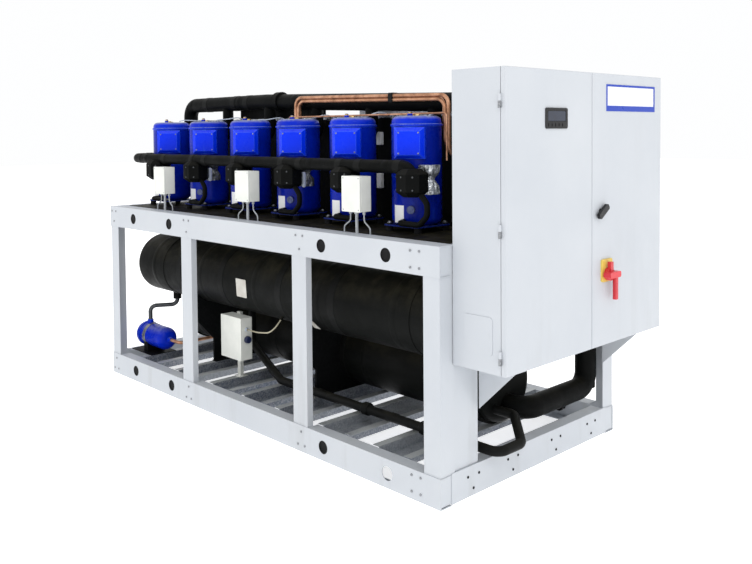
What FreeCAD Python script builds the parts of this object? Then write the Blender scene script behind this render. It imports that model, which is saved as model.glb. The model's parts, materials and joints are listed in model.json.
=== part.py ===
import FreeCAD, Part
import math
import os

# Water-cooled scroll compressor package: six hermetic scroll compressors on an open
# steel frame, two shell-and-tube vessels under them, a control cabinet at the right end.
# Millimetres. +X runs along the frame to the cabinet, +Y to the back, +Z up.
# The origin is on the floor, at the centre of the whole package's plan.

V = FreeCAD.Vector

# ---------------------------------------------------------------- driving dimensions
FRAME_LENGTH = 2990.0
FRAME_WIDTH = 1390.0
FRAME_HEIGHT = 1133.0
CABINET_DEPTH = 287.0
HANDLE_REACH = 53.0
TOTAL_HEIGHT = 1880.0
TOTAL_LENGTH = FRAME_LENGTH + CABINET_DEPTH + HANDLE_REACH

LEFT = -TOTAL_LENGTH / 2          # left end of the frame
RIGHT = LEFT + FRAME_LENGTH       # right end of the frame
FRONT = -FRAME_WIDTH / 2
BACK = FRAME_WIDTH / 2

RAIL_HEIGHT = 135.0
SHEET = 4.0                       # folded rail sheet
RAIL_FLANGE = 70.0
TOP_FLANGE = 150.0
END_FLANGE_NARROW = 24.0
POST_SHEET = 3.0
POST_WIDTH = 113.0
POST_DEPTH = 36.0
CORNER_WIDTH = 100.0
LIFT_HOLE_RADIUS = 33.0
LIFT_HOLES = (318.0, 768.0, 2213.0, 2663.0)
POST_STARTS = (903.0, 1977.0)
ANCHOR_HOLE_RADIUS = 9.0
ANCHOR_SPACING_X = 2690.0
ANCHOR_SPACING_Y = 1320.0
FLOOR_BEAM_STARTS = (255.0, 690.0, 1080.0, 1400.0, 1725.0, 2090.0, 2495.0)
FLOOR_BEAM_WIDTH = 250.0
FLOOR_BEAM_LIP = 45.0
FLOOR_BEAM_DROP = 52.0
FLOOR_TOP = 140.0

COMPRESSORS = 6
COMPRESSOR_FIRST = LEFT + 220.0
COMPRESSOR_PITCH = 462.0
COMPRESSOR_Y = FRONT + 350.0
DECK = FRAME_HEIGHT
SHELL_RADIUS = 122.5
SHELL_WALL = 4.5
SHELL_INNER = SHELL_RADIUS - SHELL_WALL
GROMMET_HEIGHT = 30.0
FOOT_THICKNESS = 6.0
FOOT_PITCH = 190.5
SHELL_BASE = DECK + GROMMET_HEIGHT + FOOT_THICKNESS
CAP_SEAM = DECK + 512.0
CAP_TOP = DECK + 562.0

WRAP_STEP = 13.0                  # half the scroll pitch
WRAP_THICKNESS = 4.5
WRAP_TURNS = 6                    # half turns of each wrap
ORBIT = 8.2
RUNNING_GAP = 0.05
FACE_GAP = 0.3
HOUSING_BASE = DECK + 340.0
HOUSING_TOP = DECK + 395.0
ORBIT_PLATE = 9.7
WRAP_HEIGHT = 35.0
FIXED_PLATE = 17.0
SHAFT_RADIUS = 14.0
PIN_RADIUS = 12.0
ROTOR_RADIUS = 61.0
STATOR_BORE = 62.0

TERMINAL_CENTRE = DECK + 432.0
TERMINAL_TURN = 50.0               # first terminal box, turned toward the cabinet
TERMINAL_TURN_STEP = 4.6           # each next one is turned this much less

SUCTION_Y = FRONT + 165.0
SUCTION_Z = 1455.0
SUCTION_RADIUS = 32.0
BRANCH_OFFSET = 144.0
BRANCH_RADIUS = 14.0
BRANCH_Z = 1190.0
BRANCH_TURN = 62.0                 # where the low line leaves the header's plane
BRANCH_ENTRY = (12.0, -95.0)       # and where it ends inside the shell
UPPER_Y = FRONT + 535.0
UPPER_Z = 1812.0
UPPER_FALL_START = LEFT + 1065.0   # the header is level up to here
UPPER_FALL = 57.0                  # and this much lower at its right end
UPPER_RADIUS = 48.0
UPPER_BRANCH_RADIUS = 35.0
UPPER_DROP_OFFSET = -50.0
UPPER_PORT_Z = DECK + 470.0
PANEL_Y = FRONT + 595.0
PANEL_TOP = 1705.0
RAISED_PANEL_START = LEFT + 690.0
RAISED_PANEL_END = LEFT + 1560.0
RAISED_PANEL_HEIGHT = 62.0
MAT_START = FRONT + 97.0
MAT_THICKNESS = 3.0
MAT_FOOT_HOLE = 19.3
TRAY_Y = FRONT + 660.0
BUNDLE_RADIUS = 9.8
BUNDLE_SLOPE = 0.0207
BUNDLE_BEND = 52.0
RISER_X = LEFT + 2905.0
RISER_Y = FRONT + 1255.0
RISER_RADIUS = 56.0

EVAP_Y = FRONT + 375.0
EVAP_Z = 725.0
EVAP_RADIUS = 195.0
EVAP_START = LEFT + 2.0
EVAP_END = LEFT + 2800.0
SENSOR_WELL_X = LEFT + 1580.0
SENSOR_WELL_TURN = 42.0
COND_Y = FRONT + 715.0
COND_Z = 352.0
COND_RADIUS = 200.0
COND_START = LEFT + 40.0
COND_END = LEFT + 2800.0
NOZZLE_RADIUS = 44.5
NOZZLE_END = BACK - 22.0

CABINET_BACK = RIGHT
CABINET_FRONT = RIGHT + CABINET_DEPTH
CABINET_LEFT = FRONT + 83.0
CABINET_RIGHT = FRONT + 1356.0
CABINET_BASE = 616.0
DOOR_THICKNESS = 26.0
DOOR_GAP = 3.0
HINGE_RADIUS = 5.0
HINGE_OFFSET = 7.0
HINGE_LEVELS = (690.0, 1210.0, 1740.0)
DISPLAY_START = FRONT + 352.0
PLATE_START = FRONT + 833.0
LATCH_Y = FRONT + 788.0
LATCH_Z = 1245.0
SWITCH_Y = FRONT + 838.0
SWITCH_Z = 950.0

BOX_WIDTH = 126.0                 # the small boxes between the compressors
BOX_DEPTH = 78.0
BOX_BASE = 1240.0
BOX_TOP = 1408.0
BOX_Y = FRONT + 50.0
BOX_SHIFTS = (288.0, 269.0, 247.0)  # from each box's compressor, first to last
SENSOR_BOX = (LEFT + 1050.0, FRONT + 182.0, 276.0)
SENSOR_BOX_WIDTH = 205.0
SENSOR_BOX_HEIGHT = 250.0
DRIER_START = LEFT + 78.0
DRIER_END = LEFT + 380.0
DRIER_Y = FRONT + 215.0
DRIER_Z = 247.0
DRIER_RADIUS = 74.0
DRIER_INLET_X = LEFT + 128.0
DRIER_STUB_X = LEFT + 215.0
DRIER_STUB_Z = 480.0
DRIER_PIPE_RADIUS = 14.0
CORD_RADIUS = 4.0
CORD_START = (SENSOR_BOX[0] + SENSOR_BOX_WIDTH + 12.0, SENSOR_BOX[1] + 40.0, SENSOR_BOX[2] + 182.0)


# ---------------------------------------------------------------- small helpers
def box(x0, y0, z0, x1, y1, z1):
    return Part.makeBox(x1 - x0, y1 - y0, z1 - z0, V(x0, y0, z0))


def rod(x, y, z, radius, length, along="Z"):
    direction = {"X": V(1, 0, 0), "Y": V(0, 1, 0), "Z": V(0, 0, 1)}[along]
    return Part.makeCylinder(radius, length, V(x, y, z), direction)


def ring(x, y, z, outer, inner, length, along="Z"):
    return rod(x, y, z, outer, length, along).cut(rod(x, y, z, inner, length, along))


def group(solids):
    return Part.makeCompound(solids)


def fuse_all(solids):
    whole = solids[0]
    if len(solids) > 1:
        whole = solids[0].multiFuse(solids[1:])
    return whole


def rounded(shape, radius, wanted):
    """Fillet the edges of shape that the test picks."""
    edges = [edge for edge in shape.Edges if wanted(edge)]
    return shape.makeFillet(radius, edges)


def upright(edge):
    first, last = edge.Vertexes[0].Point, edge.Vertexes[-1].Point
    return abs(first.x - last.x) < 0.01 and abs(first.y - last.y) < 0.01


def path(points, bend):
    """Straight runs through the points, joined by tangent arcs. With no bend radius
    each arc is as large as its two runs allow."""
    edges = []
    start = V(*points[0])
    for index in range(1, len(points) - 1):
        corner = V(*points[index])
        before = V(*points[index - 1]) - corner
        after = V(*points[index + 1]) - corner
        half = before.getAngle(after) / 2
        reach = 0.45 * min(before.Length, after.Length)
        if bend:
            reach = bend / math.tan(half)
        radius = reach * math.tan(half)
        before.normalize()
        after.normalize()
        enter = corner + before * reach
        leave = corner + after * reach
        middle = (before + after).normalize()
        centre = corner + middle * (radius / math.sin(half))
        crown = centre - middle * radius
        if start.distanceToPoint(enter) > 0.01:
            edges.append(Part.makeLine(start, enter))
        edges.append(Part.Arc(enter, crown, leave).toShape())
        start = leave
    edges.append(Part.makeLine(start, V(*points[-1])))
    return Part.Wire(edges)


def sweep(points, radius, bend=None):
    heading = (V(*points[1]) - V(*points[0])).normalize()
    circle = Part.Wire([Part.makeCircle(radius, V(*points[0]), heading)])
    return path(points, bend).makePipeShell([circle], True, False)


def tube(points, outer, inner, bend):
    return sweep(points, outer, bend).cut(sweep(points, inner, bend))


def plate_outline(corners, direction):
    """A flat plate: the closed outline pushed along the direction."""
    loop = [V(*corner) for corner in corners]
    face = Part.Face(Part.makePolygon(loop + [loop[0]]))
    return face.extrude(V(*direction))


def compressor_centres():
    return [COMPRESSOR_FIRST + COMPRESSOR_PITCH * index for index in range(COMPRESSORS)]


def write(name, shape):
    os.makedirs("parts", exist_ok=True)
    shape.exportStep("parts/" + name + ".step")


# ---------------------------------------------------------------- frame
def long_rail(face_y, inward, base, top_depth, bottom_depth):
    """A folded channel along X: the web on the outside, both flanges inward."""
    top = base + RAIL_HEIGHT
    inner = face_y + inward * SHEET

    def span(depth):
        return sorted((face_y, face_y + inward * depth))

    web = box(LEFT, min(face_y, inner), base, RIGHT, max(face_y, inner), top)
    near, far = span(bottom_depth)
    lower = box(LEFT, near, base, RIGHT, far, base + SHEET)
    near, far = span(top_depth)
    upper = box(LEFT, near, top - SHEET, RIGHT, far, top)
    rail = fuse_all([web, lower, upper])
    holes = [rod(LEFT + x, min(face_y, inner) - 1, base + RAIL_HEIGHT / 2,
                 LIFT_HOLE_RADIUS, SHEET + 2, "Y") for x in LIFT_HOLES]
    return rail.cut(group(holes + post_notches(face_y, inward, base)))


def post_notches(face_y, inward, base):
    """Clearance for the posts in the flange that faces the middle of the frame."""
    level = base - 1 if base > 100 else base + RAIL_HEIGHT - SHEET - 1
    notches = []
    spans = [(start - 1, start + POST_WIDTH + 1) for start in POST_STARTS]
    spans += [(SHEET - 1, CORNER_WIDTH + 1), (FRAME_LENGTH - CORNER_WIDTH - 1, FRAME_LENGTH - SHEET + 1)]
    for first, last in spans:
        near, far = sorted((face_y + inward * SHEET, face_y + inward * (CORNER_WIDTH + 1)))
        notches.append(box(LEFT + first, near, level, LEFT + last, far, level + SHEET + 2))
    return notches


def anchor_holes():
    holes = []
    for side_x in (-1, 1):
        for side_y in (-1, 1):
            x = (LEFT + RIGHT) / 2 + side_x * ANCHOR_SPACING_X / 2
            holes.append(rod(x, side_y * ANCHOR_SPACING_Y / 2, -1,
                             ANCHOR_HOLE_RADIUS, SHEET + 2))
    return group(holes)


def end_rails():
    """Cross rails at both ends, between the long rails."""
    pieces = []
    start, stop = FRONT + RAIL_FLANGE + 2, BACK - RAIL_FLANGE - 2
    levels = ((5.0, FLOOR_TOP, FRONT + CORNER_WIDTH + 4),
              (FRAME_HEIGHT - RAIL_HEIGHT, FRAME_HEIGHT, FRONT + TOP_FLANGE + 4))
    for face_x, inward in ((LEFT, 1), (RIGHT, -1)):
        for base, top, flange_start in levels:
            # the upper rail at the cabinet end has a narrow flange, to clear the riser
            narrow = inward < 0 and base > 100
            depth = END_FLANGE_NARROW if narrow else RAIL_FLANGE
            web_x = sorted((face_x, face_x + inward * SHEET))
            flange_x = sorted((face_x, face_x + inward * depth))
            flange_stop = BACK - CORNER_WIDTH - 4
            web_start = max(start, flange_start - 32) if base < 100 else flange_start
            web = box(web_x[0], web_start, base, web_x[1], stop, top)
            cap = box(flange_x[0], flange_start, top - SHEET, flange_x[1], flange_stop, top)
            foot = box(flange_x[0], flange_start, base, flange_x[1], flange_stop, base + SHEET)
            pieces.append(fuse_all([web, cap, foot]))
    return group(pieces)


def middle_post(start, face_y, inward):
    """A channel post, open to the inside of the frame."""
    base, top = 9.0, FRAME_HEIGHT - 5.0
    x0, x1 = LEFT + start, LEFT + start + POST_WIDTH
    skin = face_y + inward * SHEET
    low, high = sorted((skin, skin + inward * POST_SHEET))
    face = box(x0, low, base, x1, high, top)
    low, high = sorted((skin, skin + inward * POST_DEPTH))
    left_side = box(x0, low, base, x0 + POST_SHEET, high, top)
    right_side = box(x1 - POST_SHEET, low, base, x1, high, top)
    return fuse_all([face, left_side, right_side])


def corner_post(end_x, inward_x, face_y, inward_y, depth):
    """An angle post: one leg on the long face, the other on the end."""
    base, top = 9.0, FRAME_HEIGHT - 5.0
    skin_x = end_x + inward_x * SHEET
    skin_y = face_y + inward_y * SHEET
    low_x, high_x = sorted((skin_x, end_x + inward_x * CORNER_WIDTH))
    low_y, high_y = sorted((skin_y, skin_y + inward_y * POST_SHEET))
    face = box(low_x, low_y, base, high_x, high_y, top)
    low_x, high_x = sorted((skin_x, skin_x + inward_x * POST_SHEET))
    low_y, high_y = sorted((skin_y, face_y + inward_y * depth))
    side = box(low_x, low_y, base, high_x, high_y, top)
    return face.fuse(side)


def frame_posts():
    posts = []
    for face_y, inward in ((FRONT, 1), (BACK, -1)):
        posts += [middle_post(start, face_y, inward) for start in POST_STARTS]
        posts.append(corner_post(LEFT, 1, face_y, inward, 100.0))
        posts.append(corner_post(RIGHT, -1, face_y, inward, 96.0))
    # the wide filler plate beside the right front corner, set back from it
    wide = box(RIGHT - 12.0, FRONT + 98.0, FLOOR_TOP + 2, RIGHT - 9.0, FRONT + 258.0,
               FRAME_HEIGHT - RAIL_HEIGHT - 2)
    fold = box(RIGHT - 60.0, FRONT + 255.0, FLOOR_TOP + 2, RIGHT - 12.0, FRONT + 258.0,
               FRAME_HEIGHT - RAIL_HEIGHT - 2)
    posts.append(wide.fuse(fold))
    return group(posts + cabinet_gussets())


def floor_cross_members():
    """Trough beams front to back: two lips at floor level, the trough between them."""
    beams = []
    near, far = FRONT + RAIL_FLANGE + 2, BACK - RAIL_FLANGE - 2
    for start in FLOOR_BEAM_STARTS:
        x0 = LEFT + start
        x1 = x0 + FLOOR_BEAM_WIDTH
        inner0, inner1 = x0 + FLOOR_BEAM_LIP, x1 - FLOOR_BEAM_LIP
        low = FLOOR_TOP - FLOOR_BEAM_DROP
        beams.append(fuse_all([
            box(x0, near, FLOOR_TOP - POST_SHEET, inner0, far, FLOOR_TOP),
            box(inner1, near, FLOOR_TOP - POST_SHEET, x1, far, FLOOR_TOP),
            box(inner0 - POST_SHEET, near, low, inner0, far, FLOOR_TOP),
            box(inner1, near, low, inner1 + POST_SHEET, far, FLOOR_TOP),
            box(inner0 - POST_SHEET, near, low, inner1 + POST_SHEET, far, low + POST_SHEET)]))
    return group(beams)


def deck_beams():
    """Two long channels under the compressor feet, on cross channels at the posts."""
    beams = []
    top, deep = DECK, 40.0
    for side in (-1, 1):
        y = COMPRESSOR_Y + side * FOOT_PITCH / 2
        beam = box(LEFT + 76, y - 30, top - deep, RIGHT - 76, y + 30, top)
        inside = box(LEFT + 70, y - 26, top - deep - 1, RIGHT - 70, y + 26, top - 4)
        beams.append(beam.cut(inside))
    for start in (80.0,) + POST_STARTS + (2770.0,):
        x0 = LEFT + start
        cross = box(x0, FRONT + 156, top - deep - 50, x0 + 60, BACK - 76, top - deep - 1)
        inside = box(x0 + 4, FRONT + 155, top - deep - 51, x0 + 56, BACK - 75, top - deep - 5)
        beams.append(cross.cut(inside))
    return group(beams)


def cabinet_gussets():
    """Two triangular brackets that carry the cabinet off the end of the frame."""
    plates = []
    top, thick = CABINET_BASE - 0.3, 4.0
    reach, drop = 228.0, 232.0
    for y in (FRONT + 256.0, FRONT + 1280.0):
        corners = [(RIGHT + 0.5, y, top), (RIGHT + reach, y, top),
                   (RIGHT + reach, y, top - 12), (RIGHT + 0.5, y, top - drop)]
        plate = plate_outline(corners, (0, thick, 0))
        shelf = box(RIGHT + 0.5, y, top - 4, RIGHT + reach, y + 34, top)
        plates.append(plate.fuse(shelf))
    return plates


def frame_fasteners():
    """Button-head rivets of the rails, all alike."""
    heads = []
    size, height = 6.0, 3.0

    def head(x, face_y, z):
        y = face_y - height if face_y < 0 else face_y
        heads.append(rod(x, y, z, size, height, "Y"))

    levels = (FRAME_HEIGHT - RAIL_HEIGHT, 5.0)
    for face_y in (FRONT, BACK):
        for level in levels:
            for start in (0.0,) + POST_STARTS:
                x = LEFT + start + (52.0 if start == 0 else 66.0)
                high = level + (104.0 if level > 500 else 30.0)
                low = level + (36.0 if level > 500 else 98.0)
                head(x - 27, face_y, high)
                head(x + 27, face_y, high)
                head(x, face_y, low)
            for dx in (172.0, 118.0):
                for dz in (30.0, 104.0):
                    head(RIGHT - dx, face_y, level + dz)
    return group(heads)


# ---------------------------------------------------------------- compressors
def compressor_shell(cx, cy):
    """Pressure shell below the cap seam, with its foot plate and sockets."""
    base = SHELL_BASE
    outer = rod(cx, cy, base, SHELL_RADIUS, CAP_SEAM - base)
    outer = rounded(outer, 34, lambda edge: edge.BoundBox.ZMax < base + 1)
    inner = rod(cx, cy, base + SHELL_WALL, SHELL_INNER, CAP_SEAM - base)
    inner = rounded(inner, 30, lambda edge: edge.BoundBox.ZMax < base + SHELL_WALL + 1)
    half = FOOT_PITCH / 2 + 26
    foot = box(cx - half, cy - half, base - FOOT_THICKNESS, cx + half, cy + half, base)
    foot = rounded(foot, 26, upright)
    band = rod(cx, cy, DECK + 268, SHELL_RADIUS + 1.2, 9)
    entry = V(cx + BRANCH_ENTRY[0], cy + BRANCH_ENTRY[1], BRANCH_Z)
    outside = V(cx + BRANCH_TURN, SUCTION_Y, BRANCH_Z)
    suction_hole = Part.makeCylinder(BRANCH_RADIUS - 4, 60, entry, outside - entry)
    port_hole = rod(cx + UPPER_DROP_OFFSET, cy + 80, UPPER_PORT_Z, 14.3, 60, "Y")
    shell = fuse_all([outer, foot, band])
    holes = [rod(cx + sx * FOOT_PITCH / 2, cy + sy * FOOT_PITCH / 2,
                 base - FOOT_THICKNESS - 1, 10, FOOT_THICKNESS + 2)
             for sx in (-1, 1) for sy in (-1, 1)]
    return shell.cut(group([inner, suction_hole, port_hole] + holes))


def compressor_cap(cx, cy):
    """Dished top cap, welded on over a rolled rim, with a service fitting."""
    rim = rod(cx, cy, CAP_SEAM, SHELL_RADIUS + 5, 12)
    rim = rounded(rim, 4, lambda edge: abs(edge.BoundBox.ZMin - edge.BoundBox.ZMax) < 0.1)
    dome = rod(cx, cy, CAP_SEAM + 11, SHELL_RADIUS - 1, CAP_TOP - CAP_SEAM - 11)
    dome = rounded(dome, 30, lambda edge: edge.BoundBox.ZMin > CAP_TOP - 1)
    hollow = rod(cx, cy, CAP_SEAM - 1, SHELL_INNER - 3, CAP_TOP - CAP_SEAM - 5)
    hollow = rounded(hollow, 26, lambda edge: edge.BoundBox.ZMin > CAP_TOP - 8)
    fitting = Part.makeCylinder(13, 14, V(cx - 20, cy - 25, CAP_TOP - 2))
    stem = Part.makeCylinder(6, 24, V(cx - 20, cy - 25, CAP_TOP - 2))
    return fuse_all([rim, dome, fitting, stem]).cut(hollow)


def wrap(cx, cy, z0, z1, flipped):
    """A scroll wall: half circles about two centres, one step apart."""
    sign = -1 if flipped else 1
    half = WRAP_STEP / 2
    pieces = []
    for turn in range(WRAP_TURNS):
        radius = WRAP_STEP * (turn + 1)
        above = (turn % 2 == 0)
        centre = V(cx + sign * (-half if above else half), cy, 0)
        band = ring(centre.x, centre.y, z0, radius + WRAP_THICKNESS / 2,
                    radius - WRAP_THICKNESS / 2, z1 - z0)
        side = 1 if above != flipped else -1
        low, high = sorted((cy, cy + side * 200))
        pieces.append(band.common(box(cx - 200, low, z0, cx + 200, high, z1)))
    return pieces


def orbiting_scroll(cx, cy):
    """Plate, wrap and hub; it sits one orbit radius off the shaft's axis."""
    ox = cx + ORBIT
    base = HOUSING_TOP + FACE_GAP
    top = base + ORBIT_PLATE
    plate = rod(ox, cy, base, 90, ORBIT_PLATE)
    hub = ring(ox, cy, base - 30, 22, PIN_RADIUS + RUNNING_GAP, 30)
    return fuse_all([plate, hub] + wrap(ox, cy, top, top + WRAP_HEIGHT - FACE_GAP, True))


def fixed_scroll(cx, cy):
    wrap_base = HOUSING_TOP + FACE_GAP + ORBIT_PLATE + FACE_GAP
    wrap_top = HOUSING_TOP + FACE_GAP + ORBIT_PLATE + WRAP_HEIGHT
    plate = ring(cx, cy, wrap_top, 114, 6, FIXED_PLATE)
    rim = ring(cx, cy, HOUSING_TOP, 114, 100, wrap_top - HOUSING_TOP)
    return fuse_all([plate, rim] + wrap(cx, cy, wrap_base, wrap_top, False))


def crank_rotor(cx, cy):
    """Shaft with its rotor, counterweight and eccentric pin, one turning piece."""
    shaft = rod(cx, cy, DECK + 74, SHAFT_RADIUS, HOUSING_BASE + 18 - DECK - 74)
    rotor = rod(cx, cy, DECK + 130, ROTOR_RADIUS, 130)
    end_rings = [ring(cx, cy, z, ROTOR_RADIUS - 6, 30, 8) for z in (DECK + 122, DECK + 260)]
    weight = ring(cx, cy, DECK + 268, 52, SHAFT_RADIUS - 1, 26)
    weight = weight.cut(box(cx, cy - 60, DECK + 267, cx + 60, cy + 60, DECK + 295))
    flange = rod(cx, cy, HOUSING_BASE + 18, 28, 6)
    pin = rod(cx + ORBIT, cy, HOUSING_BASE + 23, PIN_RADIUS, 22)
    return fuse_all([shaft, rotor] + end_rings + [weight, flange, pin])


def motor_stator(cx, cy):
    core = ring(cx, cy, DECK + 135, SHELL_INNER - 0.2, STATOR_BORE, 120)
    windings = [ring(cx, cy, z, 104, 70, height)
                for z, height in ((DECK + 113, 22), (DECK + 255, 24))]
    return fuse_all([core] + windings)


def bearing_housing(cx, cy):
    """The main bearing frame under the scrolls and the lower bearing plate."""
    bore = SHAFT_RADIUS + RUNNING_GAP
    frame = rod(cx, cy, HOUSING_BASE, SHELL_INNER - 0.2, HOUSING_TOP - HOUSING_BASE)
    cavity = rod(cx, cy, HOUSING_BASE + 17, 40, 60)
    recess = ring(cx, cy, HOUSING_TOP - 12, 84, 39, 13)
    main = frame.cut(group([rod(cx, cy, HOUSING_BASE - 1, bore, 30), cavity, recess]))
    plate = ring(cx, cy, DECK + 80, SHELL_INNER - 0.2, bore, 12)
    ports = [rod(cx + 75 * math.cos(math.radians(45 + 90 * k)),
                 cy + 75 * math.sin(math.radians(45 + 90 * k)), DECK + 79, 20, 14)
             for k in range(4)]
    return [main, plate.cut(group(ports))]


def oldham_coupling(cx, cy):
    """Key ring that keeps the orbiting scroll from turning, at mid travel."""
    base = HOUSING_TOP - 10
    body = ring(cx, cy, base, 72, 54, 6)
    keys = [box(cx + sx * 63 - 7, cy - 5, base + 5, cx + sx * 63 + 7, cy + 5, base + 9.5)
            for sx in (-1, 1)]
    keys += [box(cx - 5, cy + sy * 63 - 7, base - 1.7, cx + 5, cy + sy * 63 + 7, base + 1)
             for sy in (-1, 1)]
    return fuse_all([body] + keys)


def rubber_grommets(cx, cy):
    pieces = []
    for sx in (-1, 1):
        for sy in (-1, 1):
            x, y = cx + sx * FOOT_PITCH / 2, cy + sy * FOOT_PITCH / 2
            foot = rod(x, y, DECK, 19, GROMMET_HEIGHT)
            neck = rod(x, y, DECK + GROMMET_HEIGHT, 9.8, 8)
            head = rod(x, y, DECK + GROMMET_HEIGHT + FOOT_THICKNESS, 14, 6)
            pieces.append(fuse_all([foot, neck, head]))
    return pieces


def terminal_box(cx, cy):
    """A shallow bevelled box on the upper shell, turned toward the cabinet side."""
    width, height, depth, bevel = 150.0, 150.0, 46.0, 18.0
    inner_face = math.sqrt(SHELL_RADIUS ** 2 - (width / 2) ** 2) - 2.0
    front_y = -inner_face - depth + bevel
    back = box(-width / 2, front_y, -height / 2, width / 2, -inner_face, height / 2)

    def outline(half_width, half_height, y):
        return Part.makePolygon([V(-half_width, y, -half_height), V(half_width, y, -half_height),
                                 V(half_width, y, half_height), V(-half_width, y, half_height),
                                 V(-half_width, y, -half_height)])

    cover = Part.makeLoft([outline(width / 2, height / 2, front_y),
                           outline(width / 2 - bevel, height / 2 - bevel, front_y - bevel)],
                          True, True)
    hollow = rod(0, 0, -height, SHELL_RADIUS + 0.5, height * 2)
    case = back.fuse(cover).cut(hollow)
    index = (cx - COMPRESSOR_FIRST) / COMPRESSOR_PITCH
    case.rotate(V(0, 0, 0), V(0, 0, 1), TERMINAL_TURN - TERMINAL_TURN_STEP * index)
    case.translate(V(cx, cy, TERMINAL_CENTRE))
    return case


def sight_glass(cx, cy):
    """Oil level glass and its threaded collar, low on the front of the shell."""
    angle = math.radians(-60)
    toward = V(math.cos(angle), math.sin(angle), 0)
    start = V(cx, cy, DECK + 115) + toward * (SHELL_RADIUS - 3)
    collar = Part.makeCylinder(19, 15, start, toward)
    bowl = Part.makeCylinder(13, 6, start + toward * 11, toward)
    glass = Part.makeCylinder(12.8, 3, start + toward * 11, toward)
    skin = rod(cx, cy, DECK + 60, SHELL_RADIUS + 0.05, 80)
    return [collar.cut(bowl).cut(skin), glass]


def all_compressors(maker):
    solids = []
    for cx in compressor_centres():
        made = maker(cx, COMPRESSOR_Y)
        solids += made if isinstance(made, list) else [made]
    return group(solids)


# ---------------------------------------------------------------- pipes
def foam_block(x, y):
    """Eight-sided foam wrap round a header tee, narrowed at both ends."""
    outlines = []
    for level, reach in ((1318.0, 44.0), (1343.0, 80.0), (1424.0, 80.0), (1448.0, 48.0)):
        corners = []
        for k in range(9):
            turn = math.radians(22.5 + 45 * k)
            corners.append(V(x + reach * math.cos(turn), y + reach * math.sin(turn), level))
        outlines.append(Part.makePolygon(corners))
    return Part.makeLoft(outlines, True, True)


def suction_manifold():
    """Insulated front header, its foam-wrapped tees, and a looped line into each shell."""
    last = compressor_centres()[-1] + BRANCH_OFFSET
    left_x, drop_x = LEFT + 48.0, LEFT + 178.0
    back_y = FRONT + 644.0
    run = [(last, SUCTION_Y, SUCTION_Z - 75), (last, SUCTION_Y, SUCTION_Z),
           (left_x, SUCTION_Y, SUCTION_Z), (left_x, back_y, SUCTION_Z),
           (drop_x, back_y, SUCTION_Z), (drop_x, back_y, EVAP_Z),
           (drop_x, EVAP_Y + EVAP_RADIUS - 10, EVAP_Z)]
    outer = [sweep(run, SUCTION_RADIUS, 62)]
    shells = []
    for cx in compressor_centres():
        outer.append(foam_block(cx + BRANCH_OFFSET, SUCTION_Y))
        loop = [(cx + 184, SUCTION_Y, 1346.0), (cx + 238, SUCTION_Y, 1290.0),
                (cx + 238, SUCTION_Y, 1234.0), (cx + 188, SUCTION_Y, BRANCH_Z),
                (cx + BRANCH_TURN, SUCTION_Y, BRANCH_Z),
                (cx + BRANCH_ENTRY[0], COMPRESSOR_Y + BRANCH_ENTRY[1], BRANCH_Z)]
        outer.append(sweep(loop, BRANCH_RADIUS, 38))
        shells.append(rod(cx, COMPRESSOR_Y, DECK, SHELL_RADIUS + 0.3, 400))
    vessel = rod(EVAP_START, EVAP_Y, EVAP_Z, EVAP_RADIUS + 0.1, 400, "X")
    return fuse_all(outer).cut(group(shells + [vessel]))


def backing_panel():
    """Foam-faced sheet behind the row of shells, raised behind the middle ones, and the
    foam mat under their feet."""
    x0, x1 = LEFT + 165.0, LEFT + 2955.0
    base = DECK - 40.5
    raised = box(RAISED_PANEL_START, PANEL_Y, PANEL_TOP - 3,
                 RAISED_PANEL_END, PANEL_Y + 3, PANEL_TOP + RAISED_PANEL_HEIGHT)
    mat = box(LEFT + 90.0, MAT_START, DECK, RIGHT - 26.0, PANEL_Y + 1, DECK + MAT_THICKNESS)
    feet = [rod(cx + sx * FOOT_PITCH / 2, COMPRESSOR_Y + sy * FOOT_PITCH / 2, DECK - 1, MAT_FOOT_HOLE, 6)
            for cx in compressor_centres() for sx in (-1, 1) for sy in (-1, 1)]
    sheet = box(x0, PANEL_Y, base, x1, PANEL_Y + 3, PANEL_TOP)
    folds = [box(x0, PANEL_Y + 1, PANEL_TOP - 3, x1, PANEL_Y + 11, PANEL_TOP),
             box(x0, PANEL_Y + 1, base, x1, PANEL_Y + 11, base + 3),
             box(x0, PANEL_Y + 1, base, x0 + 3, PANEL_Y + 11, PANEL_TOP),
             box(x1 - 3, PANEL_Y + 1, base, x1, PANEL_Y + 11, PANEL_TOP)]
    return fuse_all([sheet, raised, mat.cut(group(feet))] + folds)


def upper_header_z(x):
    """Height of the upper header's axis at x."""
    past = max(0.0, x - UPPER_FALL_START)
    return UPPER_Z - UPPER_FALL * past / (RISER_X - UPPER_FALL_START)


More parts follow.
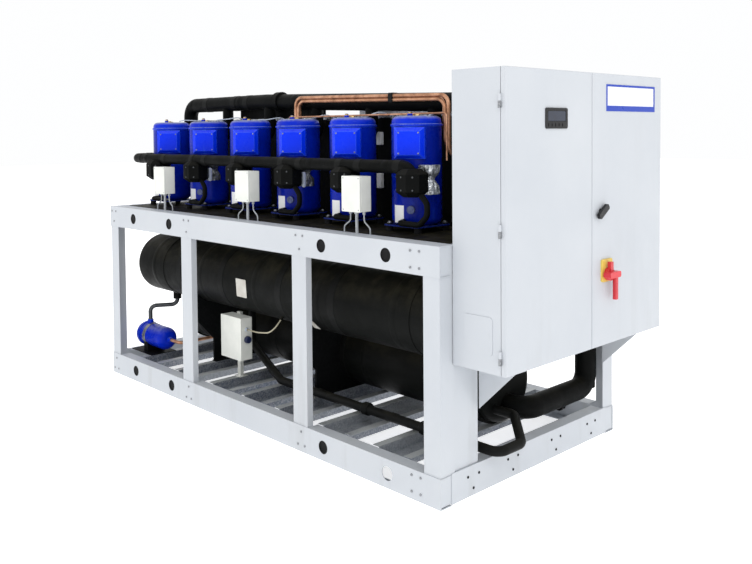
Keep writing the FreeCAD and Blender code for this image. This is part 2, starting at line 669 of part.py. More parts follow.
def discharge_manifold():
    """Insulated upper header behind the shells, its drops and the riser to the condenser."""
    centres = compressor_centres()
    first = centres[0] + UPPER_DROP_OFFSET
    end_z = upper_header_z(RISER_X)
    header = [(first, UPPER_Y, UPPER_PORT_Z + 95), (first, UPPER_Y, UPPER_Z),
              (UPPER_FALL_START, UPPER_Y, UPPER_Z), (RISER_X, UPPER_Y, end_z),
              (RISER_X, UPPER_Y + 200, end_z)]
    outer = [sweep(header, UPPER_RADIUS, 80)]
    riser = [(RISER_X, UPPER_Y + 199, end_z), (RISER_X, RISER_Y, end_z),
             (RISER_X, RISER_Y, 250.0), (RISER_X, COND_Y, 250.0), (COND_END, COND_Y, 250.0)]
    outer.append(sweep(riser[:3], UPPER_RADIUS + 2, 95))
    outer.append(sweep([(RISER_X, RISER_Y, 1000.0)] + riser[2:], RISER_RADIUS, 84))
    shells = []
    for cx in centres:
        x = cx + UPPER_DROP_OFFSET
        start_z = upper_header_z(x) if x > first + 1 else UPPER_PORT_Z + 100
        outer.append(sweep([(x, UPPER_Y, start_z), (x, UPPER_Y, UPPER_PORT_Z),
                            (x, COMPRESSOR_Y + 95, UPPER_PORT_Z)], UPPER_BRANCH_RADIUS, 42))
        shells.append(rod(cx, COMPRESSOR_Y, DECK + 400, SHELL_RADIUS + 0.3, 111.5))
    collar_x = centres[2] + 35
    outer.append(rod(collar_x, UPPER_Y, UPPER_Z, UPPER_RADIUS + 9, 46, "X"))
    return fuse_all(outer).cut(group(shells))


def bundle_routes():
    """Centre lines of the three copper tubes that run together over the row."""
    routes = []
    for y, lift, start_x, end_x, low in ((FRONT + 452.0, 10.6, -205.0, 983.0, 1500.0),
                                         (FRONT + 452.0, -10.6, -182.0, 960.0, 1540.0),
                                         (FRONT + 473.0, 0.0, -193.0, 937.0, 1580.0)):
        start_z = 1811.5 + lift
        end_z = start_z - BUNDLE_SLOPE * (end_x - start_x)
        fall = low + 90.0
        routes.append([(start_x, PANEL_Y - 0.3, fall), (start_x, y, fall), (start_x, y, start_z),
                       (end_x, y, end_z), (end_x, y, low), (end_x, PANEL_Y - 0.3, low)])
    return routes


def copper_lines():
    """Three hard-drawn copper tubes over the right half of the row, a thin line along
    the caps, and the drier's outlet."""
    tubes = [tube(route, BUNDLE_RADIUS, BUNDLE_RADIUS - 1.2, BUNDLE_BEND) for route in bundle_routes()]
    level = CAP_TOP + 12.0
    thin = [(LEFT + 1480.0, FRONT + 390.0, level), (LEFT + 2690.0, FRONT + 390.0, level),
            (LEFT + 2690.0, FRONT + 390.0, 1480.0)]
    tubes.append(tube(thin, 5.0, 4.0, 20))
    outlet_x = DRIER_END + 140
    tubes.append(tube([(DRIER_END + 10, DRIER_Y, DRIER_Z), (outlet_x, DRIER_Y, DRIER_Z),
                       (outlet_x, COND_Y - 177, DRIER_Z)], 11.0, 9.8, 34))
    return group(tubes)


def pipe_clips():
    """Rubber-lined clip block round the copper bundle."""
    x = LEFT + 2245.0
    block = box(x, FRONT + 436.0, 1770.0, x + 26, FRONT + 485.0, 1822.0)
    block = rounded(block, 8, lambda edge: edge.BoundBox.XLength > 20)
    return block.cut(group([sweep(route, BUNDLE_RADIUS, BUNDLE_BEND) for route in bundle_routes()]))


def liquid_line():
    """Insulated liquid pipe: down from the evaporator, along the floor with two thicker
    collars, out past the frame's end and back into the condenser's head."""
    y, z = FRONT + 300.0, 190.0
    turn_x = RIGHT + 75.0
    start_x, start_y = LEFT + 1030.0, FRONT + 425.0
    route = [(start_x, start_y, EVAP_Z - 120), (start_x, start_y, 300.0),
             (LEFT + 1495.0, y - 8, z), (turn_x, y, z), (turn_x, y + 170, z),
             (COND_END + 115.0, COND_Y - 100, 250.0), (COND_END + 0.2, COND_Y - 100, 250.0)]
    pipe = sweep(route, 23.0, 50)
    pipe = pipe.cut(rod(EVAP_START, EVAP_Y, EVAP_Z, EVAP_RADIUS + 0.1, 2000, "X"))
    collars = [rounded(rod(LEFT + x, y, z, 33.0, 46, "X"), 8, lambda edge: True)
               for x in (2190.0, 2600.0)]
    return fuse_all([pipe] + collars)


def filter_drier():
    """Painted drier shell with a bolted end flange."""
    x0, x1 = DRIER_START, DRIER_END
    y, z, radius = DRIER_Y, DRIER_Z, DRIER_RADIUS
    body = rod(x0 + 14, y, z, radius, x1 - x0 - 14, "X")
    body = rounded(body, 52, lambda edge: edge.BoundBox.XMin > x1 - 1)
    collar = rod(x0 + 8, y, z, radius + 8, 18, "X")
    core = rod(x0 + 13, y, z, radius - 6, x1 - x0 - 70, "X")
    neck = rod(DRIER_INLET_X, y, z + radius - 8, 20, 34)
    outlet = rod(x1 - 2, y, z, 17, 26, "X")
    shell = fuse_all([body, collar, neck, outlet]).cut(core)
    shell = shell.cut(rod(x1 - 60, y, z, 11.2, 100, "X"))
    shell = shell.cut(rod(DRIER_INLET_X, y, z + radius - 30, DRIER_PIPE_RADIUS + 0.2, 90))
    cover = rod(x0 - 8, y, z, radius + 2, 16, "X")
    disc = rod(x0 - 12, y, z, 34, 5, "X")
    bolts = []
    for k in range(8):
        turn = math.radians(45 * k)
        bolt_y, bolt_z = y + 62 * math.cos(turn), z + 62 * math.sin(turn)
        bolts.append(rod(x0 - 16, bolt_y, bolt_z, 7, 8, "X"))
    return group([shell, cover.fuse(disc)] + bolts)


def drier_cradle():
    """Foot and cradle that carry the drier, from the end rail to the first floor beam."""
    x0, y, z = DRIER_START, DRIER_Y, DRIER_Z
    cradle = box(x0 + 70, y - 64, FLOOR_TOP, x0 + 120, y + 64, z)
    cradle = cradle.cut(rod(x0 + 69, y, z, DRIER_RADIUS + 0.3, 52, "X"))
    foot = box(LEFT + 30, y - 92, FLOOR_TOP, LEFT + 300, y + 92, FLOOR_TOP + 4)
    return cradle.fuse(foot)


def drier_pipe():
    """Steel line in one smooth arc from the evaporator's underside into the drier."""
    level = DRIER_STUB_Z - 42
    route = [(DRIER_STUB_X, EVAP_Y, DRIER_STUB_Z + 46), (DRIER_STUB_X, EVAP_Y, level),
             (DRIER_INLET_X, DRIER_Y, level),
             (DRIER_INLET_X, DRIER_Y, DRIER_Z + DRIER_RADIUS + 20)]
    return tube(route, DRIER_PIPE_RADIUS, DRIER_PIPE_RADIUS - 1.6, 40)


# ---------------------------------------------------------------- vessels
def sensor_well():
    """Mouth of the temperature well, and the way into the evaporator there."""
    turn = math.radians(SENSOR_WELL_TURN)
    toward = V(0, math.sin(turn), math.cos(turn))
    axis_point = V(SENSOR_WELL_X, EVAP_Y, EVAP_Z)
    return axis_point - toward * (EVAP_RADIUS + 22), toward


def evaporator_shell():
    """Insulated shell with dished ends."""
    length = EVAP_END - EVAP_START
    skin = rod(EVAP_START, EVAP_Y, EVAP_Z, EVAP_RADIUS, length, "X")
    skin = rounded(skin, 58, lambda edge: edge.Curve.TypeId == "Part::GeomCircle")
    inner = rod(EVAP_START + 34, EVAP_Y, EVAP_Z, EVAP_RADIUS - 34, length - 68, "X")
    band = rod(EVAP_START + 330, EVAP_Y, EVAP_Z, EVAP_RADIUS + 2.5, 44, "X")
    band_2 = rod(EVAP_END - 210, EVAP_Y, EVAP_Z, EVAP_RADIUS + 2.5, 44, "X")
    mouth, toward = sensor_well()
    well = Part.makeCylinder(9, 60, mouth, toward)
    stub = rod(DRIER_STUB_X, EVAP_Y, DRIER_STUB_Z, 27, 80)
    bore = rod(DRIER_STUB_X, EVAP_Y, DRIER_STUB_Z - 1, DRIER_PIPE_RADIUS, 47)
    return fuse_all([skin, band, band_2, well, stub.cut(bore)]).cut(inner)


def condenser_shell():
    """Shell with a bolted water head on each end."""
    length = COND_END - COND_START
    skin = rod(COND_START + 90, COND_Y, COND_Z, COND_RADIUS, length - 180, "X")
    heads = []
    for start, outward in ((COND_START, -1), (COND_END - 92, 1)):
        head = rod(start, COND_Y, COND_Z, COND_RADIUS - 6, 92, "X")
        edge_x = start if outward < 0 else start + 92
        head = rounded(head, 44, lambda edge: abs(edge.BoundBox.XMin - edge_x) < 1
                       and abs(edge.BoundBox.XMax - edge_x) < 1)
        flange_x = start + 70 if outward < 0 else start - 6
        heads += [head, rod(flange_x, COND_Y, COND_Z, COND_RADIUS + 10, 28, "X")]
    inner = rod(COND_START + 20, COND_Y, COND_Z, COND_RADIUS - 26, length - 40, "X")
    return fuse_all([skin] + heads).cut(inner)


def tube_bundles():
    """Straight water tubes between two tube sheets, one bundle in each vessel."""
    solids = []
    for y, z, radius, start, end in (
            (EVAP_Y, EVAP_Z, EVAP_RADIUS - 36, EVAP_START + 130, EVAP_END - 130),
            (COND_Y, COND_Z, COND_RADIUS - 28, COND_START + 100, COND_END - 100)):
        pitch, tube_radius = 42.0, 9.5
        places = []
        for row in range(-3, 4):
            for column in range(-3, 4):
                across = column * pitch + (pitch / 2 if row % 2 else 0)
                up = row * pitch * 0.866
                if math.hypot(across, up) < radius - 22:
                    places.append((y + across, z + up))
        holes = group([rod(start - 5, py, pz, tube_radius, 50, "X") for py, pz in places])
        far_holes = group([rod(end - 45, py, pz, tube_radius, 50, "X") for py, pz in places])
        solids.append(rod(start, y, z, radius, 30, "X").cut(holes))
        solids.append(rod(end - 30, y, z, radius, 30, "X").cut(far_holes))
        solids += [rod(start - 3, py, pz, tube_radius - 0.05, end - start + 6, "X")
                   for py, pz in places]
    return group(solids)


def water_nozzles():
    """Four grooved pipe ends at the back, two on each vessel."""
    pieces = []
    for x, vessel_y, z, radius in ((520.0, EVAP_Y, EVAP_Z, EVAP_RADIUS),
                                   (2500.0, EVAP_Y, EVAP_Z, EVAP_RADIUS),
                                   (800.0, COND_Y, COND_Z, COND_RADIUS),
                                   (2220.0, COND_Y, COND_Z, COND_RADIUS)):
        start = vessel_y + radius - 30
        pipe = rod(LEFT + x, start, z, NOZZLE_RADIUS, NOZZLE_END - start, "Y")
        groove = ring(LEFT + x, NOZZLE_END - 24, z, NOZZLE_RADIUS + 5, NOZZLE_RADIUS - 2, 8, "Y")
        bore = rod(LEFT + x, start - 5, z, NOZZLE_RADIUS - 5.5, 1000, "Y")
        vessel = rod(LEFT, vessel_y, z, radius + 0.2, FRAME_LENGTH, "X")
        pieces.append(pipe.cut(group([groove, bore, vessel])))
    return group(pieces)


def vessel_supports():
    """Saddle plates on the floor beams, shaped to both vessels, and the drier's cradle."""
    plates = []
    for start in (FLOOR_BEAM_STARTS[1], FLOOR_BEAM_STARTS[4]):
        x = LEFT + start + 14
        near, toe, far = FRONT + 215.0, FRONT + 345.0, COND_Y + 245.0
        corners = [(x, toe, FLOOR_TOP), (x, far, FLOOR_TOP), (x, far, COND_Z),
                   (x, FRONT + 590.0, EVAP_Z - 60), (x, near, EVAP_Z - 60), (x, near, 430.0),
                   (x, toe, 290.0)]
        plate = plate_outline(corners, (12, 0, 0))
        vessels = group([rod(x - 1, EVAP_Y, EVAP_Z, EVAP_RADIUS + 0.3, 14, "X"),
                         rod(x - 1, COND_Y, COND_Z, COND_RADIUS + 0.3, 14, "X")])
        foot = box(x - 12, toe, FLOOR_TOP, x + 30, far, FLOOR_TOP + 6)
        plates.append(plate.cut(vessels).fuse(foot))
    plates.append(drier_cradle())
    return group(plates)


# ---------------------------------------------------------------- cabinet
def cabinet_shell():
    """Steel box open to the front, with an inward return round the mouth."""
    front = CABINET_FRONT - DOOR_THICKNESS - DOOR_GAP
    outer = box(CABINET_BACK + 0.5, CABINET_LEFT, CABINET_BASE, front, CABINET_RIGHT, TOTAL_HEIGHT)
    wall = 3.0
    inner = box(CABINET_BACK + 0.5 + wall, CABINET_LEFT + wall, CABINET_BASE + wall,
                front - wall, CABINET_RIGHT - wall, TOTAL_HEIGHT - wall)
    mouth = box(front - wall - 1, CABINET_LEFT + 28, CABINET_BASE + 28, front + 1,
                CABINET_RIGHT - 28, TOTAL_HEIGHT - 28)
    shell = outer.cut(inner).cut(mouth)
    vent = box(RIGHT + 62, CABINET_LEFT - 2.5, 690.0, RIGHT + 216, CABINET_LEFT, 850.0)
    vent = rounded(vent, 16, lambda edge: edge.BoundBox.YLength > 2)
    slots = [box(RIGHT + 80, CABINET_LEFT - 1.2, 712.0 + 20 * k, RIGHT + 198,
                 CABINET_LEFT + 4, 718.0 + 20 * k) for k in range(6)]
    entry = rod(RIGHT + 130, CABINET_RIGHT - 120, CABINET_BASE - 1, 31.0, wall + 2)
    return shell.fuse(vent).cut(group(slots + [entry]))


def hinge_axis(side):
    x = CABINET_FRONT - DOOR_THICKNESS - DOOR_GAP / 2
    y = CABINET_LEFT - HINGE_OFFSET if side < 0 else CABINET_RIGHT + HINGE_OFFSET
    return x, y


def door(side):
    """A pressed door pan with its three hinge knuckles."""
    middle = (CABINET_LEFT + CABINET_RIGHT) / 2
    back = CABINET_FRONT - DOOR_THICKNESS
    y0, y1 = (CABINET_LEFT, middle - DOOR_GAP / 2) if side < 0 else (middle + DOOR_GAP / 2, CABINET_RIGHT)
    pan = box(back, y0, CABINET_BASE, CABINET_FRONT, y1, TOTAL_HEIGHT)
    pan = rounded(pan, 5, lambda edge: edge.BoundBox.XMin > CABINET_FRONT - 1)
    inside = box(back - 1, y0 + 2, CABINET_BASE + 2, CABINET_FRONT - 2, y1 - 2, TOTAL_HEIGHT - 2)
    pan = pan.cut(inside)
    rib_y = (y0 + y1) / 2
    rib = box(back + 6, rib_y - 25, CABINET_BASE + 40, CABINET_FRONT - 1.5, rib_y + 25, TOTAL_HEIGHT - 40)
    rib = rib.cut(box(back + 5, rib_y - 22, CABINET_BASE + 39, CABINET_FRONT - 4, rib_y + 22,
                      TOTAL_HEIGHT - 39))
    pieces = [pan, rib]
    x, y = hinge_axis(side)
    for level in HINGE_LEVELS:
        knuckle = ring(x, y, level + 1, HINGE_RADIUS + 2, 2.55, 28)
        edge_y = sorted((y - side * (HINGE_RADIUS - 1), y - side * (HINGE_OFFSET + 1)))
        leaf = box(back + 0.5, min(edge_y), level + 1, back + 5, max(edge_y), level + 29)
        pieces += [knuckle, leaf]
    shape = fuse_all(pieces)
    holes = [rod(x, y, level, 2.55, 30) for level in HINGE_LEVELS]
    if side > 0:
        holes.append(rod(CABINET_FRONT - 5, SWITCH_Y, SWITCH_Z, 9.05, 10, "X"))
        holes.append(rod(CABINET_FRONT - 5, LATCH_Y, LATCH_Z, 5.05, 10, "X"))
    return shape.cut(group(holes))


def door_hinges():
    """Fixed knuckles with their pins, three on each side of the cabinet."""
    pieces = []
    for side in (-1, 1):
        x, y = hinge_axis(side)
        for level in HINGE_LEVELS:
            knuckle = rod(x, y, level - 28, HINGE_RADIUS + 2, 28)
            pin = rod(x, y, level, 2.5, 27)
            low, high = sorted((y - side * (HINGE_RADIUS - 1), y - side * HINGE_OFFSET))
            leaf = box(x - 5, low, level - 28, x - 2, high, level)
            pieces.append(fuse_all([knuckle, pin, leaf]))
    return group(pieces)


def latch_handle():
    """A small thick swing handle, slanted at rest, on a spindle through the right door."""
    grip = box(CABINET_FRONT + 8, -45, -14, CABINET_FRONT + 24, 45, 14)
    grip = rounded(grip, 9, lambda edge: edge.BoundBox.XLength > 10)
    grip.rotate(V(0, 0, 0), V(1, 0, 0), 33)
    grip.translate(V(0, LATCH_Y, LATCH_Z))
    boss = rod(CABINET_FRONT + 0.4, LATCH_Y, LATCH_Z, 13, 9, "X")
    spindle = rod(CABINET_FRONT - 18, LATCH_Y, LATCH_Z, 5, 20, "X")
    cam = box(CABINET_FRONT - 18, LATCH_Y - 7, LATCH_Z - 7, CABINET_FRONT - 14, LATCH_Y + 7, LATCH_Z + 24)
    return fuse_all([grip, boss, spindle, cam])


def disconnect_base():
    """Square-cornered escutcheon of the main switch, on the right door."""
    plate = box(CABINET_FRONT, SWITCH_Y - 46, SWITCH_Z - 36, CABINET_FRONT + 7, SWITCH_Y + 46, SWITCH_Z + 70)
    plate = rounded(plate, 12, lambda edge: edge.BoundBox.XLength > 6)
    return plate.cut(rod(CABINET_FRONT - 1, SWITCH_Y, SWITCH_Z, 9.05, 12, "X"))


def disconnect_handle():
    """Main switch handle: a hub, a cross grip and a long lever, one turning piece."""
    x = CABINET_FRONT + 7.4
    tip = CABINET_FRONT + HANDLE_REACH
    hub = rod(x, SWITCH_Y, SWITCH_Z, 30, 20, "X")
    grip = box(x + 8, SWITCH_Y - 46, SWITCH_Z - 14, tip, SWITCH_Y + 46, SWITCH_Z + 14)
    grip = rounded(grip, 9, lambda edge: edge.BoundBox.XLength > 10)
    neck = box(x + 8, SWITCH_Y - 11, SWITCH_Z + 5, x + 26, SWITCH_Y + 11, SWITCH_Z + 58)
    lever = box(x + 14, SWITCH_Y + 18, SWITCH_Z - 120, x + 34, SWITCH_Y + 44, SWITCH_Z - 8)
    lever = rounded(lever, 7, lambda edge: edge.BoundBox.ZLength > 50)
    spindle = rod(CABINET_FRONT - 20, SWITCH_Y, SWITCH_Z, 9.0, 30, "X")
    return fuse_all([hub, grip, neck, lever, spindle])


def display_panel():
    """Operator panel in the left door: a bezel, a screen and a row of keys."""
    y0, z0 = DISPLAY_START, 1627.0
    bezel = box(CABINET_FRONT, y0, z0, CABINET_FRONT + 5, y0 + 163, z0 + 89)
    bezel = rounded(bezel, 8, lambda edge: edge.BoundBox.XLength > 4)
    window = box(CABINET_FRONT + 3, y0 + 14, z0 + 30, CABINET_FRONT + 6, y0 + 149, z0 + 78)
    keys = [box(CABINET_FRONT + 4, y0 + 18 + 26 * k, z0 + 9, CABINET_FRONT + 7, y0 + 36 + 26 * k, z0 + 22)
            for k in range(5)]
    return bezel.cut(window).fuse(keys)


def name_plate():
    """A blank rectangular plate with a raised border and a lower band."""
    y0, y1, z0, z1 = PLATE_START, PLATE_START + 453, 1706.0, 1831.0
    plate = box(CABINET_FRONT, y0, z0, CABINET_FRONT + 2, y1, z1)
    rim = box(CABINET_FRONT + 2, y0, z0, CABINET_FRONT + 3, y1, z1)
    rim = rim.cut(box(CABINET_FRONT + 1, y0 + 12, z0 + 26, CABINET_FRONT + 4, y1 - 12, z1 - 10))
    return plate.fuse(rim)


def switchgear():
    """Mounting plate with rails, breakers, contactors and the controller inside."""
    x = CABINET_BACK + 22.0
    solids = [box(x, CABINET_LEFT + 50, CABINET_BASE + 60, x + 3, CABINET_RIGHT - 50, TOTAL_HEIGHT - 60)]
    for level in (880.0, 1130.0, 1380.0):
        solids.append(box(x + 3, CABINET_LEFT + 90, level - 17, x + 11, CABINET_RIGHT - 90, level + 17))
    for index in range(6):
        y = CABINET_LEFT + 130 + 150 * index
        solids.append(box(x + 11, y, 1072.0, x + 118, y + 84, 1188.0))
        solids.append(box(x + 11, y + 12, 1312.0, x + 92, y + 72, 1448.0))
    for index in range(8):
        y = CABINET_LEFT + 130 + 58 * index
        solids.append(box(x + 11, y, 838.0, x + 78, y + 50, 922.0))
    solids.append(box(x + 3, CABINET_LEFT + 160, 1540.0, x + 70, CABINET_LEFT + 520, 1760.0))
    solids.append(box(x + 3, CABINET_RIGHT - 400, 1520.0, x + 120, CABINET_RIGHT - 180, 1760.0))
    return group(solids)


# ---------------------------------------------------------------- small boxes and cables
def junction_box(x, y, z, width, depth, height):
    body = box(x, y + 10, z, x + width, y + depth, z + height)
    body = rounded(body, 6, upright)
    lid = box(x - 1.5, y, z - 1.5, x + width + 1.5, y + 10, z + height + 1.5)
    lid = rounded(lid, 5, lambda edge: edge.BoundBox.YLength > 9)
    hollow = box(x + 3, y + 3, z + 3, x + width - 3, y + depth - 3, z + height - 3)
    return body.fuse(lid).cut(hollow)


def small_box_places():
    """Left edge of each small box, one between every second pair of compressors."""
    return [compressor_centres()[2 * index] + shift for index, shift in enumerate(BOX_SHIFTS)]


def junction_boxes():
    solids = []
    for x in small_box_places():
        solids.append(junction_box(x, BOX_Y, BOX_BASE, BOX_WIDTH, BOX_DEPTH, BOX_TOP - BOX_BASE))
    x, y, z = SENSOR_BOX
    side = x + SENSOR_BOX_WIDTH
    solids.append(junction_box(x, y, z, SENSOR_BOX_WIDTH, BOX_DEPTH + 5, SENSOR_BOX_HEIGHT))
    solids.append(rod(side, y + 42, z + 122, 15.0, 22, "X"))
    solids.append(rod(side, CORD_START[1], CORD_START[2], 8.0, CORD_START[0] - side, "X"))
    post_x, post_y = LEFT + 1096.0, y + BOX_DEPTH + 6
    post = box(post_x, post_y, FLOOR_TOP, post_x + 30, post_y + 22, 536.0)
    foot = box(post_x - 14, post_y - 14, FLOOR_TOP, post_x + 44, post_y + 44, FLOOR_TOP + 5)
    solids.append(post.fuse(foot))
    return group(solids)


def cable_conduits():
    """Stiff conduits from each small box down to the top rail, glands included,
    and the straight cable tray behind the last compressors."""
    solids = []
    for x in small_box_places():
        y = BOX_Y + 42.0
        for place, radius, lean in ((16.0, 3.5, -42.0), (60.0, 7.5, 5.0), (112.0, 3.5, 46.0)):
            start = x + place
            gland = rod(start, y, BOX_BASE - 14, radius + 4, 12.4)
            run = sweep([(start, y, BOX_BASE - 14), (start, y, BOX_BASE - 48),
                         (start + lean, y - 4, DECK + 30), (start + lean, y - 4, DECK + 0.3)],
                        radius, 22)
            solids.append(gland.fuse(run))
    tray = box(LEFT + 2060.0, TRAY_Y, 1648.0, LEFT + 2860.0, TRAY_Y + 4, 1735.0)
    ledge = box(LEFT + 2060.0, TRAY_Y, 1648.0, LEFT + 2860.0, TRAY_Y + 60, 1652.0)
    solids.append(tray.fuse(ledge))
    return group(solids)


def sensor_cord():
    """The free sensor lead: out of the small box's gland, up in a slack curve to the
    well on the evaporator's front."""
    x, y, z = CORD_START
    end, toward = sensor_well()
    before = end - toward * 86
    route = [(x, y, z), (x + 90, y, z), (x + 195, before.y, z + 24), tuple(before), tuple(end)]
    return sweep(route, CORD_RADIUS)


# ---------------------------------------------------------------- write every piece
def main():
    write("front_top_rail", long_rail(FRONT, 1, FRAME_HEIGHT - RAIL_HEIGHT, TOP_FLANGE, RAIL_FLANGE))
    write("front_bottom_rail", long_rail(FRONT, 1, 0.0, RAIL_FLANGE, RAIL_FLANGE).cut(anchor_holes()))
    rear = [long_rail(BACK, -1, FRAME_HEIGHT - RAIL_HEIGHT, RAIL_FLANGE, RAIL_FLANGE),
            long_rail(BACK, -1, 0.0, RAIL_FLANGE, RAIL_FLANGE).cut(anchor_holes())]
    write("rear_rails", group(rear))
    write("end_rails", end_rails())
    write("frame_posts", frame_posts())
    write("floor_cross_members", floor_cross_members())
    write("deck_beams", deck_beams())
    write("frame_fasteners", frame_fasteners())
    for index, cx in enumerate(compressor_centres()):
        number = str(index + 1)
        write("compressor_shell_" + number, compressor_shell(cx, COMPRESSOR_Y))
        write("crank_rotor_" + number, crank_rotor(cx, COMPRESSOR_Y))
        write("orbiting_scroll_" + number, orbiting_scroll(cx, COMPRESSOR_Y))
    write("compressor_caps", all_compressors(compressor_cap))
    write("fixed_scrolls", all_compressors(fixed_scroll))
    write("motor_stators", all_compressors(motor_stator))
    write("bearing_housings", all_compressors(bearing_housing))
    write("oldham_couplings", all_compressors(oldham_coupling))
    write("rubber_grommets", all_compressors(rubber_grommets))
    write("terminal_boxes", all_compressors(terminal_box))
    write("sight_glasses", all_compressors(sight_glass))
    write("backing_panel", backing_panel())
    write("suction_manifold", suction_manifold())
    write("discharge_manifold", discharge_manifold())
    write("copper_lines", copper_lines())
    write("pipe_clips", pipe_clips())
    write("liquid_line", liquid_line())
    write("filter_drier", filter_drier())
    write("drier_pipe", drier_pipe())
    write("evaporator_shell", evaporator_shell())
    write("condenser_shell", condenser_shell())
    write("tube_bundles", tube_bundles())
    write("water_nozzles", water_nozzles())
    write("vessel_supports", vessel_supports())
    write("cabinet_shell", cabinet_shell())
    write("left_door", door(-1))
    write("right_door", door(1))
    write("door_hinges", door_hinges())
    write("latch_handle", latch_handle())
    write("disconnect_base", disconnect_base())
    write("disconnect_handle", disconnect_handle())
    write("display_panel", display_panel())
    write("name_plate", name_plate())
    write("switchgear", switchgear())
    write("junction_boxes", junction_boxes())
    write("cable_conduits", cable_conduits())
    write("sensor_cord", sensor_cord())


main()
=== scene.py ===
import json
import math

import bmesh
import bpy
from mathutils import Matrix, Vector, noise


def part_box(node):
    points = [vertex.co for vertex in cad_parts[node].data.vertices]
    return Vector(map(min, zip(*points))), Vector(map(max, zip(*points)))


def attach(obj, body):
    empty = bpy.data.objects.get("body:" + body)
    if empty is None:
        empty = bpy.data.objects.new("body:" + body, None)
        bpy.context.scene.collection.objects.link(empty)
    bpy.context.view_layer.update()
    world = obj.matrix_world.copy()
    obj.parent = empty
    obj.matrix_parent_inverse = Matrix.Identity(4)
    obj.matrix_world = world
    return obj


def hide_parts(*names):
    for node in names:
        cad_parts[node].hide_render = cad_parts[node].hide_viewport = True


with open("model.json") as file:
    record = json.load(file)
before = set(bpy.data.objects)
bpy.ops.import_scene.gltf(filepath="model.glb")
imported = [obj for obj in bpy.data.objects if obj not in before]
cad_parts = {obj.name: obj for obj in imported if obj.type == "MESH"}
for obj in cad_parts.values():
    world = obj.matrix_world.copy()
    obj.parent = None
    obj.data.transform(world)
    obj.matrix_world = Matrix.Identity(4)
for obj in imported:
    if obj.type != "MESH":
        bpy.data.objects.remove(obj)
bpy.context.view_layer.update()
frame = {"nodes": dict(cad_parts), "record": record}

NODES = frame["nodes"]


# ---------------------------------------------------------------- camera
# The lens and its sensor are in millimetres, the shift is in sensor widths.
CAMERA_PLACE = Vector((3.688, -3.324, 1.619))
CAMERA_YAW = math.radians(46.24)
CAMERA_PITCH = math.radians(2.18)
CAMERA_ROLL = math.radians(-0.48)
SENSOR = 36.0
LENS = 40.24
SHIFT_DOWN = -0.157
CLIP_END = 100.0


def add_camera():
    """The camera stands in front of the right end, at the height of the compressors."""
    forward = Vector((
        -math.sin(CAMERA_YAW) * math.cos(CAMERA_PITCH),
        math.cos(CAMERA_YAW) * math.cos(CAMERA_PITCH),
        -math.sin(CAMERA_PITCH)))
    level = Vector((math.cos(CAMERA_YAW), math.sin(CAMERA_YAW), 0.0))
    above = level.cross(forward)
    right = math.cos(CAMERA_ROLL) * level + math.sin(CAMERA_ROLL) * above
    up = right.cross(forward)
    turn = Matrix((right, up, -forward)).transposed()
    lens = bpy.data.cameras.new("camera")
    lens.lens = LENS
    lens.sensor_width = SENSOR
    lens.shift_y = SHIFT_DOWN
    lens.clip_end = CLIP_END
    camera = bpy.data.objects.new("camera", lens)
    camera.matrix_world = Matrix.Translation(CAMERA_PLACE) @ turn.to_4x4()
    bpy.context.scene.collection.objects.link(camera)
    bpy.context.scene.camera = camera


add_camera()


# ---------------------------------------------------------------- the free sensor lead
CORD_DIAMETER = 0.008
CORD_ROUTE = [(-0.398, -0.473, 0.458), (-0.308, -0.473, 0.458), (-0.203, -0.52275, 0.482),
              (-0.085, -0.52275, 0.49982), (-0.085, -0.4652, 0.56374)]


def add_cord():
    """The free lead from the small box's gland up to the evaporator's temperature well. Its
    radius comes from the points, and the bevel depth only scales it."""
    data = bpy.data.curves.new("sensor_lead", "CURVE")
    data.dimensions = "3D"
    data.bevel_depth = 1.0
    data.bevel_resolution = 5
    data.resolution_u = 24
    data.use_fill_caps = True
    spline = data.splines.new("NURBS")
    spline.points.add(len(CORD_ROUTE) - 1)
    for point, place in zip(spline.points, CORD_ROUTE):
        point.co = place + (1.0,)
        point.radius = CORD_DIAMETER / 2
    spline.order_u = 3
    spline.use_endpoint_u = True
    lead = bpy.data.objects.new("sensor_lead", data)
    bpy.context.scene.collection.objects.link(lead)
    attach(lead, "package")
    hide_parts("sensor_cord")
    return lead


SENSOR_LEAD = add_cord()


